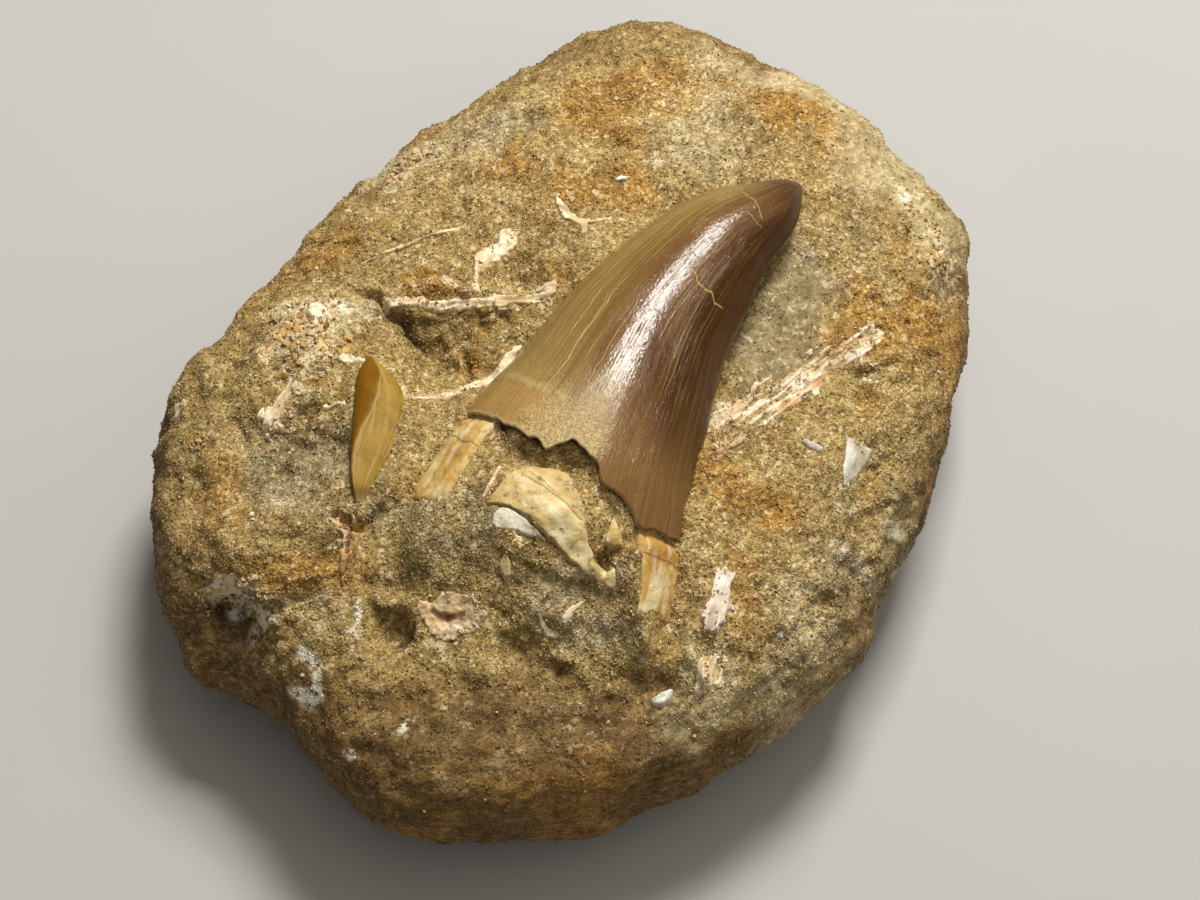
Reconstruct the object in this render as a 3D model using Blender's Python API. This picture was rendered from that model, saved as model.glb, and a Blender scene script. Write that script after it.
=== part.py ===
"""A fossil mosasaur tooth lying in its block of sandy matrix, with the small fossils beside it.

Run with: blender --background --python part.py
+Z is up, and the origin is under the middle of the block, on the surface that the block rests on.
Seen from the front, +X is right and +Y is away. Lengths in the tables are millimetres.
"""

import math

import bmesh
import bpy
from mathutils import Matrix, Vector, noise
from mathutils.bvhtree import BVHTree

MM = 0.001
GAP = 0.35  # clearance between a fossil and the stone that holds it
OPEN_TOP = 4.0  # how far a pocket's cutter stands above the fossil in it

# ---- The block: a rounded nodule with a flat underside ----
BLOCK_AXIS = Vector((-1.0, -2.4, 0.0))  # what its outline is measured from
EQUATOR = 15.0  # height of its widest level
CROWN_RISE = 17.0  # from there to the general level of the top
BELLY_DROP = 18.0  # from there to the lowest point of the rounded underside, which is cut flat at 0
SHOULDER = 3.0  # how square the upper edge is: 2 is an ellipse, more is squarer
BELLY = 2.5  # the same for the lower edge
BLOCK_CUTS = 21  # faces along each side of the cube that the block is spread from
LUMPS = 1.7  # height of the broad unevenness
CHIPS = 0.8  # height of the fine unevenness
# Distance from the axis to the widest level, every 15 degrees anticlockwise from +X.
OUTLINE = (
    47.0, 53.0, 56.5, 58.0, 56.5, 59.0,
    53.5, 46.5, 43.0, 41.5, 40.5, 42.5,
    49.5, 50.0, 53.0, 49.5, 52.0, 53.5,
    51.0, 49.0, 46.5, 46.0, 44.5, 46.0,
)
# Rises and hollows of the top: x, y, half length, half width, turn in degrees, height.
RELIEF = (
    (0.0, -21.4, 14.5, 10.0, -20.0, 6.6),  # sandy fill of the tooth's base
    (-1.0, -37.4, 12.0, 4.0, -12.0, -1.5),  # foot of the ledge in front of it
    (-17.0, 2.3, 6.5, 4.2, -10.0, -3.4),  # hollow under the long rib
    (-32.0, -11.4, 8.0, 5.5, 10.0, -2.4),  # hollow left of the fang
    (23.0, 2.6, 16.0, 6.0, 62.0, -3.0),  # trough along the tooth's steep side
    (33.0, -12.4, 10.0, 8.0, 20.0, 1.3),  # swell right of the trough
    (-20.5, -34.0, 2.8, 2.0, 0.0, -1.8),  # pit
    (-34.0, -23.4, 9.0, 5.0, 0.0, 1.0),  # swell at the left
    (-1.0, -44.4, 26.0, 9.0, 0.0, -3.0),  # front shoulder
    (11.0, 39.6, 22.0, 9.0, 0.0, -2.0),  # back shoulder
)
# Lumps and dents of the sides: x, y, z, radius, how far they stand out.
SIDES = (
    (-40.5, -31.9, 23.0, 4.5, -2.4),  # undercut at the front left
    (-43.5, -34.4, 13.0, 4.5, 2.0),  # lip below it
    (45.5, 23.6, 22.0, 5.0, 1.4),
    (47.5, 14.6, 22.0, 3.5, -2.2),  # chip out of the right edge
    (-34.0, 27.0, 8.0, 13.0, -2.5),  # flatter faces round the back and the underside
    (8.0, 52.0, 6.0, 12.0, -2.5),
    (44.0, -18.0, 3.0, 12.0, -2.0),
    (-44.0, 0.0, 4.0, 11.0, -2.0),
)

# ---- The mosasaur tooth: a curved horn, from its broken base to its tip ----
# Each station is the axis x, y and z, half the width across the view and half the depth.
HORN = (
    (-6.7, -32.7, 24.0, 18.6, 12.5),
    (-4.2, -26.3, 26.5, 17.8, 12.0),
    (0.3, -15.3, 29.0, 15.3, 11.0),
    (4.5, -6.9, 30.5, 12.5, 9.2),
    (9.3, 2.8, 31.5, 10.1, 7.6),
    (15.5, 11.3, 32.5, 7.8, 6.0),
    (19.5, 15.5, 33.0, 6.3, 5.0),
    (24.0, 18.6, 33.4, 4.2, 3.6),
    (26.6, 20.8, 33.6, 2.4, 2.2),
    (28.2, 22.0, 33.6, 0.6, 0.6),
)
HORN_LENGTH = 66.0  # along the axis, which turns a length into a share of it
CROWN_RINGS = 20
CROWN_SIDES = 30
POCKET_RINGS = 12
KEEL = 0.35  # how far the two cutting edges stand out
# The crown has broken away in front of this line, given in plan from left to right.
BREAK = (
    (-31.0, 6.6), (-8.2, -11.6), (-4.5, -14.3), (-2.1, -16.3), (0.7, -15.2),
    (4.0, -18.4), (3.9, -20.0), (6.8, -22.3), (9.4, -25.7), (29.0, -24.9),
)
FRONT = -60.0  # beyond the front of everything
# What is left of the tooth's base: the first and last angle about the axis, and its lower end.
BASE_STRIPS = {
    "tooth_base_left": (131.0, 204.0, 0.135),
    "tooth_base_right": (-24.0, 36.0, 0.130),
}
WALL = 2.4  # thickness of those strips
CRACK = 0.9  # width of the crack between them and the crown

# ---- The fish fang: a blade with an off-centre ridge ----
# Each station is y, then x of the left edge, the ridge and the right edge, and the ridge's height.
FANG = (
    (0.8, -23.9, -23.5, -23.1, 0.5),
    (-2.4, -24.3, -22.6, -20.9, 1.9),
    (-6.4, -24.6, -23.2, -19.1, 2.3),
    (-10.4, -24.8, -23.9, -18.9, 2.2),
    (-14.4, -24.9, -23.8, -19.8, 1.9),
    (-17.4, -25.0, -23.6, -21.1, 1.6),
    (-20.0, -24.6, -23.4, -22.3, 1.0),
)
FANG_EDGE = 0.45  # height of its edges above the stone
FANG_DEPTH = 1.2

# ---- Small fossils that show as low tablets: outline in plan, depth in the stone, height over it ----
TABLETS = {
    "dentine_tongue": (
        (
            (-8.6, -19.8), (-7.4, -17.6), (-5.6, -16.3), (-3.6, -17.4), (-1.6, -18.5), (0.2, -20.6),
            (1.9, -23.0), (2.9, -25.4), (4.6, -27.6), (6.3, -29.0), (5.9, -30.7), (3.6, -30.2),
            (0.8, -28.6), (-1.6, -26.4), (-3.4, -24.8), (-5.4, -23.2), (-8.0, -21.8),
        ),
        1.6, 0.7, "tooth_dentine",
    ),
    "dentine_flake": (
        ((-8.4, -24.3), (-7.5, -23.5), (-5.8, -24.1), (-4.5, -25.1), (-4.0, -26.1), (-6.3, -25.9), (-8.1, -25.4)),
        1.2, 0.4, "pale_bone",
    ),
    "dentine_chip": (
        ((5.6, -22.2), (6.6, -24.6), (6.5, -26.2), (5.0, -25.7), (5.2, -23.8)),
        1.2, 0.9, "tooth_dentine",
    ),
    "fish_scale": (
        ((-7.1, -27.2), (-7.7, -28.4), (-7.1, -29.8), (-6.2, -29.6), (-6.0, -28.4), (-6.4, -27.3)),
        1.0, 0.6, "pale_bone",
    ),
    "fang_root": (
        ((-27.2, -22.6), (-25.6, -21.3), (-22.7, -21.3), (-22.9, -23.8), (-25.0, -26.8), (-26.7, -27.6)),
        1.6, 0.6, "tooth_dentine",
    ),
    "shark_tooth": (
        ((33.2, -10.5), (36.4, -11.0), (35.7, -12.6), (34.4, -14.7), (32.4, -17.1), (32.5, -14.4)),
        1.5, 1.0, "pearly_enamel",
    ),
    "bone_splinter": (
        (
            (18.6, -26.7), (19.6, -28.1), (19.2, -30.5), (19.4, -32.0), (17.4, -34.6),
            (16.3, -35.0), (16.0, -33.6), (16.1, -31.8), (16.6, -30.0), (17.2, -28.6),
        ),
        1.6, 0.6, "pale_bone",
    ),
    "cream_nodule": (
        ((15.4, -40.5), (15.5, -38.0), (16.6, -36.5), (18.0, -37.3), (18.2, -38.8), (17.3, -40.3)),
        1.5, 0.7, "pale_bone",
    ),
    "bone_rib": (
        (
            (-21.9, 8.6), (-21.9, 7.7), (-17.7, 7.2), (-12.8, 6.8), (-8.0, 6.7), (-3.8, 6.8),
            (-2.0, 7.3), (-2.9, 8.3), (-8.0, 7.7), (-12.8, 7.8), (-17.7, 8.2),
        ),
        1.6, 0.6, "pale_bone",
    ),
    "bone_plate": (
        (
            (-11.6, 8.5), (-10.2, 8.4), (-10.1, 10.6), (-9.0, 12.0), (-7.3, 12.8), (-5.7, 15.2), (-5.9, 17.1),
            (-8.4, 17.5), (-8.7, 15.5), (-9.6, 13.5), (-11.3, 12.2), (-11.9, 10.4),
        ),
        1.4, 0.5, "pale_bone",
    ),
    "y_bone": (
        (
            (-1.4, 21.5), (-1.6, 20.5), (-0.4, 18.6), (1.2, 17.7), (1.9, 16.0), (2.9, 16.4), (2.7, 17.6),
            (5.2, 18.2), (5.4, 19.2), (2.8, 18.8), (1.6, 18.9), (0.3, 19.6), (-0.4, 21.0),
        ),
        1.3, 0.5, "pale_bone",
    ),
    "bone_sliver": (
        (
            (-36.6, -7.4), (-35.0, -5.6), (-33.6, -3.6), (-32.4, -1.9), (-31.8, -3.8),
            (-33.2, -6.1), (-34.0, -8.5), (-35.0, -9.1),
        ),
        1.4, 0.6, "pale_bone",
    ),
    "spine_needle": (
        (
            (-25.1, 13.9), (-25.0, 13.1), (-20.3, 15.0), (-16.6, 16.3), (-12.1, 17.9),
            (-12.3, 18.8), (-16.8, 17.3), (-20.5, 16.0),
        ),
        1.2, 0.5, "pale_bone",
    ),
    "bone_band": (
        (
            (17.5, -12.6), (19.2, -10.4), (21.6, -7.0), (25.0, -4.6), (28.8, -2.8), (32.2, -0.2), (36.9, 2.9),
            (36.4, 4.1), (31.4, 2.0), (27.7, -0.5), (24.0, -2.1), (20.4, -4.3), (18.6, -7.2), (17.3, -10.4),
        ),
        1.6, 0.5, "tooth_dentine",
    ),
    "shell_flake": (
        (
            (-17.5, -30.3), (-15.6, -31.4), (-13.3, -30.0), (-10.5, -30.6), (-9.2, -32.7),
            (-10.0, -34.4), (-13.3, -35.3), (-15.4, -34.8), (-16.5, -33.2),
        ),
        1.4, 0.5, "tooth_dentine",
    ),
    "white_chip": (
        ((9.6, -41.4), (10.9, -40.1), (12.5, -40.3), (12.3, -41.6), (11.4, -42.7), (10.0, -42.3)),
        1.5, 0.9, "pearly_enamel",
    ),
}
TABLET_EDGE = 0.35  # width of the worn slope round a tablet's top

# Base colour and roughness of each material.
FINISHES = {
    "matrix_stone": ((0.42, 0.32, 0.18), 0.95),
    "tooth_enamel": ((0.22, 0.13, 0.06), 0.25),
    "tooth_dentine": ((0.55, 0.38, 0.17), 0.45),
    "pale_bone": ((0.78, 0.70, 0.55), 0.7),
    "amber_enamel": ((0.62, 0.40, 0.10), 0.25),
    "pearly_enamel": ((0.70, 0.72, 0.68), 0.35),
}


# ---- Small sums ----
def smoothstep(low, high, value):
    """0 below low, 1 above high, and a smooth rise between them."""
    share = min(max((value - low) / (high - low), 0.0), 1.0)
    return share * share * (3.0 - 2.0 * share)


def between(before, start, end, after, t):
    """A point t of the way from start to end on the smooth curve through all four."""
    bend = 2 * before - 5 * start + 4 * end - after
    turn = 3 * start - before - 3 * end + after
    return 0.5 * (2 * start + (end - before) * t + bend * t * t + turn * t**3)


def along_stations(stations, share):
    """The numbers of a table of stations, a share of the way along it."""
    last = len(stations) - 1
    place = min(max(share, 0.0), 1.0) * last
    first = min(int(place), last - 1)
    around = [stations[min(max(first + step, 0), last)] for step in (-1, 0, 1, 2)]
    return [between(*four, place - first) for four in zip(*around)]


def inside(outline, x, y):
    """True where the point lies within a closed outline in plan."""
    odd = False
    for (x1, y1), (x2, y2) in zip(outline, outline[1:] + outline[:1]):
        if (y1 > y) != (y2 > y) and x < x1 + (x2 - x1) * (y - y1) / (y2 - y1):
            odd = not odd
    return odd


def grown(outline, amount):
    """An outline in plan, anticlockwise, moved outwards by amount."""
    corners = [Vector(point) for point in outline]
    area = sum(a.cross(b) for a, b in zip(corners, corners[1:] + corners[:1]))
    if area < 0:
        corners.reverse()
    moved = []
    for place, corner in enumerate(corners):
        before = (corner - corners[place - 1]).normalized()
        after = (corners[(place + 1) % len(corners)] - corner).normalized()
        outwards = Vector((before.y + after.y, -before.x - after.x)).normalized()
        lean = max(outwards.dot(Vector((before.y, -before.x))), 0.5)
        moved.append(corner + outwards * (amount / lean))
    return moved


# ---- Scene helpers ----
def start_scene():
    """Clears the scene and returns a collection for the parts and one for their cutters."""
    for old in list(bpy.data.objects):
        bpy.data.objects.remove(old)
    parts = bpy.data.collections.new("mosasaur_tooth_in_matrix")
    cutters = bpy.data.collections.new("cutters")
    for collection in (parts, cutters):
        bpy.context.scene.collection.children.link(collection)
    return parts, cutters


def finish(name):
    """The material called name, made once."""
    made = bpy.data.materials.get(name)
    if made:
        return made
    colour, roughness = FINISHES[name]
    made = bpy.data.materials.new(name)
    made.use_nodes = True
    shader = made.node_tree.nodes["Principled BSDF"]
    shader.inputs["Base Color"].default_value = (*colour, 1.0)
    shader.inputs["Roughness"].default_value = roughness
    shader.inputs["Metallic"].default_value = 0.0
    return made


def add_object(bm, name, collection, material=None):
    """Makes an object of the mesh bm, which is in millimetres, and frees it. One with no material is a cutter."""
    bmesh.ops.recalc_face_normals(bm, faces=bm.faces[:])
    mesh = bpy.data.meshes.new(name)
    bm.to_mesh(mesh)
    bm.free()
    mesh.transform(Matrix.Scale(MM, 4))
    made = bpy.data.objects.new(name, mesh)
    collection.objects.link(made)
    if material:
        mesh.materials.append(finish(material))
    else:
        made.hide_render = True
        made.display_type = "WIRE"
    return made


# ---- The block ----
def outline_radius(around):
    """Distance from the block's axis to its widest level, in the direction around, in radians."""
    place = (around / math.tau) % 1.0 * len(OUTLINE)
    first = int(place)
    around = [OUTLINE[(first + step) % len(OUTLINE)] for step in (-1, 0, 1, 2)]
    return between(*around, place - first)


def relief(x, y):
    """Height of the top's rises and hollows at a point."""
    total = 0.0
    for centre_x, centre_y, half_length, half_width, turn, height in RELIEF:
        angle = math.radians(turn)
        along = (x - centre_x) * math.cos(angle) + (y - centre_y) * math.sin(angle)
        across = (y - centre_y) * math.cos(angle) - (x - centre_x) * math.sin(angle)
        total += height * math.exp(-((along / half_length) ** 2) - (across / half_width) ** 2)
    return total


def block_point(direction):
    """Where the block's surface lies in the direction of a unit vector."""
    flat = math.hypot(direction.x, direction.y)
    square = SHOULDER if direction.z > 0 else BELLY
    reach = (flat**square + abs(direction.z) ** square) ** (-1.0 / square)
    radius = outline_radius(math.atan2(direction.y, direction.x)) * reach
    rise = CROWN_RISE if direction.z > 0 else BELLY_DROP
    point = BLOCK_AXIS + Vector((direction.x * radius, direction.y * radius, EQUATOR + rise * direction.z * reach))
    point.z += relief(point.x, point.y) * smoothstep(0.1, 0.9, direction.z * reach)
    for x, y, z, size, height in SIDES:
        away = (point - Vector((x, y, z))).length / size
        point += direction * height * math.exp(-away * away)
    lumps = noise.fractal((point - BLOCK_AXIS) * 0.055 + Vector((7.0, 3.0, 1.0)), 1.0, 2.0, 3)
    chips = noise.fractal((point - BLOCK_AXIS) * 0.17 + Vector((2.0, 9.0, 4.0)), 1.0, 2.0, 3)
    return point + direction * (LUMPS * lumps + CHIPS * chips)


def make_block(collection):
    """The stone: a cube spread to a rounded nodule and cut flat where it rests."""
    bm = bmesh.new()
    bmesh.ops.create_cube(bm, size=2.0)
    bmesh.ops.subdivide_edges(bm, edges=bm.edges[:], cuts=BLOCK_CUTS - 1, use_grid_fill=True)
    for vert in bm.verts:
        even = Vector(math.tan(number * math.pi / 4.0) for number in vert.co)
        vert.co = block_point(even.normalized())
    cut = bmesh.ops.bisect_plane(
        bm, geom=bm.verts[:] + bm.edges[:] + bm.faces[:], plane_co=(0, 0, 0), plane_no=(0, 0, -1), clear_outer=True
    )
    rim = [edge for edge in cut["geom_cut"] if isinstance(edge, bmesh.types.BMEdge)]
    bmesh.ops.edgeloop_fill(bm, edges=rim)
    bmesh.ops.recalc_face_normals(bm, faces=bm.faces[:])
    surface = BVHTree.FromBMesh(bm)
    return add_object(bm, "matrix_block", collection, "matrix_stone"), surface


def ground(surface, x, y):
    """Height of the stone's top at a point."""
    return surface.ray_cast(Vector((x, y, 100.0)), Vector((0, 0, -1)))[0].z


# ---- The mosasaur tooth ----
def horn_point(share, angle, grow=0.0):
    """A point of the tooth's surface, a share of the way to its tip, at an angle about its axis."""
    x, y, z, half_width, half_depth = along_stations(HORN, share)
    ahead, behind = along_stations(HORN, share + 0.02), along_stations(HORN, share - 0.02)
    along = (Vector(ahead[:3]) - Vector(behind[:3])).normalized()
    across = along.cross(Vector((0, 0, 1))).normalized()
    up = across.cross(along)
    keel = KEEL * min(1.0, half_width / 4.0) * abs(math.cos(angle)) ** 24
    sideways = across * math.cos(angle) * (half_width + keel + grow)
    return Vector((x, y, z)) + sideways + up * math.sin(angle) * (half_depth + grow)


def break_share(angle):
    """How far along the tooth the crown's broken edge lies, at an angle about its axis."""
    lost = BREAK + ((BREAK[-1][0], FRONT), (BREAK[0][0], FRONT))
    share = 0.4
    while share > 0.05:
        point = horn_point(share, angle)
        if inside(lost, point.x, point.y):
            break
        share -= 0.002
    return share


def make_crown(name, collection, material=None, rings=CROWN_RINGS, grow=0.0):
    """The enamelled crown, from its jagged broken edge to its tip."""
    bm = bmesh.new()
    sides = CROWN_SIDES
    angles = [math.tau * side / sides for side in range(sides)]
    starts = [break_share(angle) - grow / HORN_LENGTH for angle in angles]
    loops = []
    for ring in range(rings + 1):
        step = ring / rings
        shares = [start + (1.0 - start) * step for start in starts]
        loops.append([bm.verts.new(horn_point(*place, grow)) for place in zip(shares, angles)])
    for lower, upper in zip(loops, loops[1:]):
        for side in range(sides):
            following = (side + 1) % sides
            bm.faces.new((lower[side], lower[following], upper[following], upper[side]))
    bm.faces.new(loops[-1])
    base = loops[0]
    bm.faces.new((base[0], base[1], base[-1]))
    for side in range(1, sides // 2 - 1):
        bm.faces.new((base[side], base[side + 1], base[-side - 1], base[-side]))
    middle = sides // 2
    bm.faces.new((base[middle - 1], base[middle], base[middle + 1]))
    return add_object(bm, name, collection, material)


def make_base_strip(name, collection, material=None, grow=0.0):
    """A strip of the tooth's base: a slab bent to follow the tooth's surface."""
    first, last, lower = BASE_STRIPS[name.removeprefix("pocket_")]
    crack = (CRACK - grow) / HORN_LENGTH
    bottom = lower - grow / HORN_LENGTH
    bm = bmesh.new()
    bmesh.ops.create_grid(bm, x_segments=4, y_segments=7, size=0.5)
    raised = bmesh.ops.extrude_face_region(bm, geom=bm.faces[:])["geom"]
    outer = {item for item in raised if isinstance(item, bmesh.types.BMVert)}
    for vert in bm.verts:
        widen = grow / 15.0 * round(2.0 * vert.co.y)
        angle = math.radians(first + (last - first) * (vert.co.y + 0.5)) + widen
        share = bottom + (break_share(angle) - crack - bottom) * (vert.co.x + 0.5)
        vert.co = horn_point(share, angle, grow if vert in outer else -WALL - grow)
    return add_object(bm, name, collection, material)


# ---- The fish fang ----
def make_fang(name, collection, surface, material=None, grow=0.0):
    """A blade lying on its flat side, with a ridge from its tip to its lower left edge."""
    bm = bmesh.new()
    loops = []
    steps = 12
    for step in range(steps + 1):
        y, left, ridge, right, height = along_stations(FANG, step / steps)
        level = ground(surface, ridge, y)
        y += grow * (1.0 - 2.0 * step / steps)
        left, right = left - grow, right + grow
        edge = level + FANG_EDGE + grow
        top = level + height + (OPEN_TOP if grow else 0.0)
        deep = level - FANG_DEPTH - grow
        side = (ridge + right) / 2.0
        profile = (
            (left, edge), (ridge, top), (side, (edge + top) / 2.0 + 0.15), (right, edge),
            (right - 0.2, deep), (left + 0.2, deep),
        )
        loops.append([bm.verts.new((x, y, z)) for x, z in profile])
    for lower, upper in zip(loops, loops[1:]):
        for place in range(len(lower)):
            following = (place + 1) % len(lower)
            bm.faces.new((lower[place], lower[following], upper[following], upper[place]))
    bm.faces.new(loops[0])
    bm.faces.new(loops[-1])
    return add_object(bm, name, collection, material)


# ---- Low tablets: bone, dentine, shell ----
def make_tablet(name, outline, depth, height, surface, collection, material):
    """A flat fossil that follows the stone's surface, with a worn edge."""
    bm = bmesh.new()
    floor = bm.faces.new([bm.verts.new((x, y, 0.0)) for x, y in grown(outline, 0.0)])
    raised = bmesh.ops.extrude_face_region(bm, geom=[floor])["geom"]
    top = [item for item in raised if isinstance(item, bmesh.types.BMFace)]
    sides = {vert for vert in top[0].verts}
    bmesh.ops.inset_region(bm, faces=top, thickness=TABLET_EDGE, use_even_offset=True)
    crest = set(top[0].verts)
    lowest = min(ground(surface, *point) for point in outline)
    for vert in bm.verts:
        level = ground(surface, vert.co.x, vert.co.y)
        if vert in crest:
            vert.co.z = level + height
        elif vert in sides:
            vert.co.z = level + height * 0.4
        else:
            vert.co.z = lowest - depth
    return add_object(bm, name, collection, material)


def make_tablet_pocket(name, outline, depth, surface, collection):
    """The space that a tablet takes up in the stone."""
    bm = bmesh.new()
    floor = bm.faces.new([bm.verts.new((x, y, 0.0)) for x, y in grown(outline, GAP)])
    raised = bmesh.ops.extrude_face_region(bm, geom=[floor])["geom"]
    top = {item for item in raised if isinstance(item, bmesh.types.BMVert)}
    lowest = min(ground(surface, *point) for point in outline)
    for vert in bm.verts:
        level = ground(surface, vert.co.x, vert.co.y)
        vert.co.z = level + OPEN_TOP if vert in top else lowest - depth - GAP
    return add_object(bm, name, collection)


# ---- Assembly ----
def cut_pockets(block, pockets):
    """Takes the space of every fossil out of the stone."""
    for pocket in pockets:
        cut = block.modifiers.new(pocket.name, "BOOLEAN")
        cut.object = pocket
        cut.operation = "DIFFERENCE"
        cut.solver = "EXACT"


def main():
    parts, cutters = start_scene()
    block, surface = make_block(parts)
    pockets = []
    for name in BASE_STRIPS:
        make_base_strip(name, parts, "tooth_dentine")
        pockets.append(make_base_strip("pocket_" + name, cutters, grow=GAP))
    make_crown("tooth_crown", parts, "tooth_enamel")
    pockets.append(make_crown("pocket_tooth_crown", cutters, rings=POCKET_RINGS, grow=GAP + 0.1))
    make_fang("fish_fang", parts, surface, "amber_enamel")
    pockets.append(make_fang("pocket_fish_fang", cutters, surface, grow=GAP))
    for name, (outline, depth, height, material) in TABLETS.items():
        make_tablet(name, outline, depth, height, surface, parts, material)
        pockets.append(make_tablet_pocket("pocket_" + name, outline, depth, surface, cutters))
    cut_pockets(block, pockets)


main()
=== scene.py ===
"""The looks of a fossil mosasaur tooth in its block of sandy matrix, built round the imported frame.

+Z is up. Seen from the front, +X is right and +Y is away. Lengths in the tables are millimetres.
"""

import itertools
import math

import bpy
import numpy as np
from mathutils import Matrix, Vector, noise
from mathutils.bvhtree import BVHTree


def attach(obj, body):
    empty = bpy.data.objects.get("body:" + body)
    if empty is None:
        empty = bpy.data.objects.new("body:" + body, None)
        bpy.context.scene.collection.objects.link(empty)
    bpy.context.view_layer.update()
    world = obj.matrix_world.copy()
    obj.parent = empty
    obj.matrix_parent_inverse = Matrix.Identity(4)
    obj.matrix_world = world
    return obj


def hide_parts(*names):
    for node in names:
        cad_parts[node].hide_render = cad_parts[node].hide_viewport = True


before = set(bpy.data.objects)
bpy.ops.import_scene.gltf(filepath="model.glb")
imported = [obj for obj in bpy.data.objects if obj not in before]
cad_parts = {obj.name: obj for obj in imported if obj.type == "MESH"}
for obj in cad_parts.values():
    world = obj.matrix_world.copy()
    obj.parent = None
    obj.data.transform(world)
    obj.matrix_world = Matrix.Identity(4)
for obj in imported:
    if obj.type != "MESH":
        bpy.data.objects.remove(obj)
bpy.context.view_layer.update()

MM = 0.001

# ---- The block's general form, the same as the solid's ----
BLOCK_AXIS = (-1.0, -2.4, 0.0)
EQUATOR = 15.0
CROWN_RISE = 17.0
BELLY_DROP = 18.0
SHOULDER = 3.0
BELLY = 2.5
LUMPS = 1.7
CHIPS = 0.8
# Distance from the axis to the widest level, every 15 degrees anticlockwise from +X.
OUTLINE = (
    47.0, 53.0, 56.5, 58.0, 56.5, 59.0,
    53.5, 46.5, 43.0, 41.5, 40.5, 42.5,
    49.5, 50.0, 53.0, 49.5, 52.0, 53.5,
    51.0, 49.0, 46.5, 46.0, 44.5, 46.0,
)
# Rises and hollows of the top: x, y, half length, half width, turn in degrees, height.
RELIEF = (
    (0.0, -21.4, 14.5, 10.0, -20.0, 6.6),
    (-1.0, -37.4, 12.0, 4.0, -12.0, -1.5),
    (-17.0, 2.3, 6.5, 4.2, -10.0, -3.4),
    (-32.0, -11.4, 8.0, 5.5, 10.0, -2.4),
    (23.0, 2.6, 16.0, 6.0, 62.0, -3.0),
    (33.0, -12.4, 10.0, 8.0, 20.0, 1.3),
    (-20.5, -34.0, 2.8, 2.0, 0.0, -1.8),
    (-34.0, -23.4, 9.0, 5.0, 0.0, 1.0),
    (-1.0, -44.4, 26.0, 9.0, 0.0, -3.0),
    (11.0, 39.6, 22.0, 9.0, 0.0, -2.0),
)
# Lumps and dents of the sides: x, y, z, radius, how far they stand out.
SIDES = (
    (-40.5, -31.9, 23.0, 4.5, -2.4),
    (-43.5, -34.4, 13.0, 4.5, 2.0),
    (45.5, 23.6, 22.0, 5.0, 1.4),
    (47.5, 14.6, 22.0, 3.5, -2.2),
    (-34.0, 27.0, 8.0, 13.0, -2.5),
    (8.0, 52.0, 6.0, 12.0, -2.5),
    (44.0, -18.0, 3.0, 12.0, -2.0),
    (-44.0, 0.0, 4.0, 11.0, -2.0),
)

# ---- The block's fine form ----
SKIN_SQUARES = 296  # squares along each side of the sheet that is wrapped round it
SKIN_TOP_SHARE = 0.87  # share of the sheet's half width that reaches the widest level
LOWEST_WRAP = 158.0  # degrees from straight up to where the sheet ends, under the base plane
WRAP_RADIUS = 50.0  # a typical distance from the axis to the widest level
# Broken steps: a line in plan whose right-hand side is lower, the drop, and how far the low side runs.
SCARPS = (
    (((-8.2, -12.4), (-4.5, -15.0), (-2.1, -17.0), (0.7, -16.0), (3.6, -18.6), (6.6, -22.6),
      (9.4, -26.4)), 1.2, 1.5),
    (((-11.0, -26.0), (-6.4, -27.8), (-2.9, -29.3), (0.6, -30.4), (4.0, -31.3), (9.6, -32.0)), 0.7, 2.4),
    (((-10.0, -34.2), (-7.5, -35.0), (-4.6, -36.0), (-1.8, -37.4), (1.1, -39.0), (5.0, -41.2)), 1.0, 2.6),
    (((-23.0, 6.6), (-17.8, 5.9), (-12.8, 5.5), (-8.1, 5.5), (-4.0, 5.4), (-2.5, 6.0)), 0.35, 4.5),
    (((-5.5, 0.5), (-8.0, -1.7), (-10.3, -3.1), (-12.0, -3.8), (-15.0, -5.0), (-17.6, -5.2),
      (-21.0, -3.2)), 1.1, 3.5),
    (((-10.4, 8.2), (-9.9, 10.4), (-8.8, 11.8), (-7.0, 12.6), (-5.4, 15.2), (-4.4, 18.0)), 1.0, 7.0),
    (((38.0, 4.6), (31.0, 1.2), (27.5, -1.4), (24.0, -3.0), (20.3, -5.6), (18.0, -9.5),
      (17.4, -13.0)), 1.3, 5.0),
    (((-30.5, -20.0), (-26.0, -21.6), (-22.5, -21.0), (-20.5, -19.6)), 0.9, 2.2),
    (((-47.0, -23.5), (-42.0, -26.6), (-38.5, -27.4), (-35.4, -29.6), (-33.6, -32.4)), 1.2, 4.0),
    (((17.8, -33.4), (16.0, -38.0), (14.6, -43.0), (12.0, -47.0)), 1.0, 4.0),
    (((-24.4, -30.6), (-20.6, -31.3), (-17.6, -32.2)), 1.6, 2.6),
    (((4.0, 34.0), (7.0, 29.8), (11.0, 27.8)), 0.5, 4.0),
    (((-33.0, 20.0), (-24.0, 15.0), (-17.0, 17.4)), 0.5, 5.0),
    (((41.0, 34.0), (38.0, 27.0), (41.6, 21.6), (43.2, 15.0)), 0.7, 5.0),
)
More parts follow.
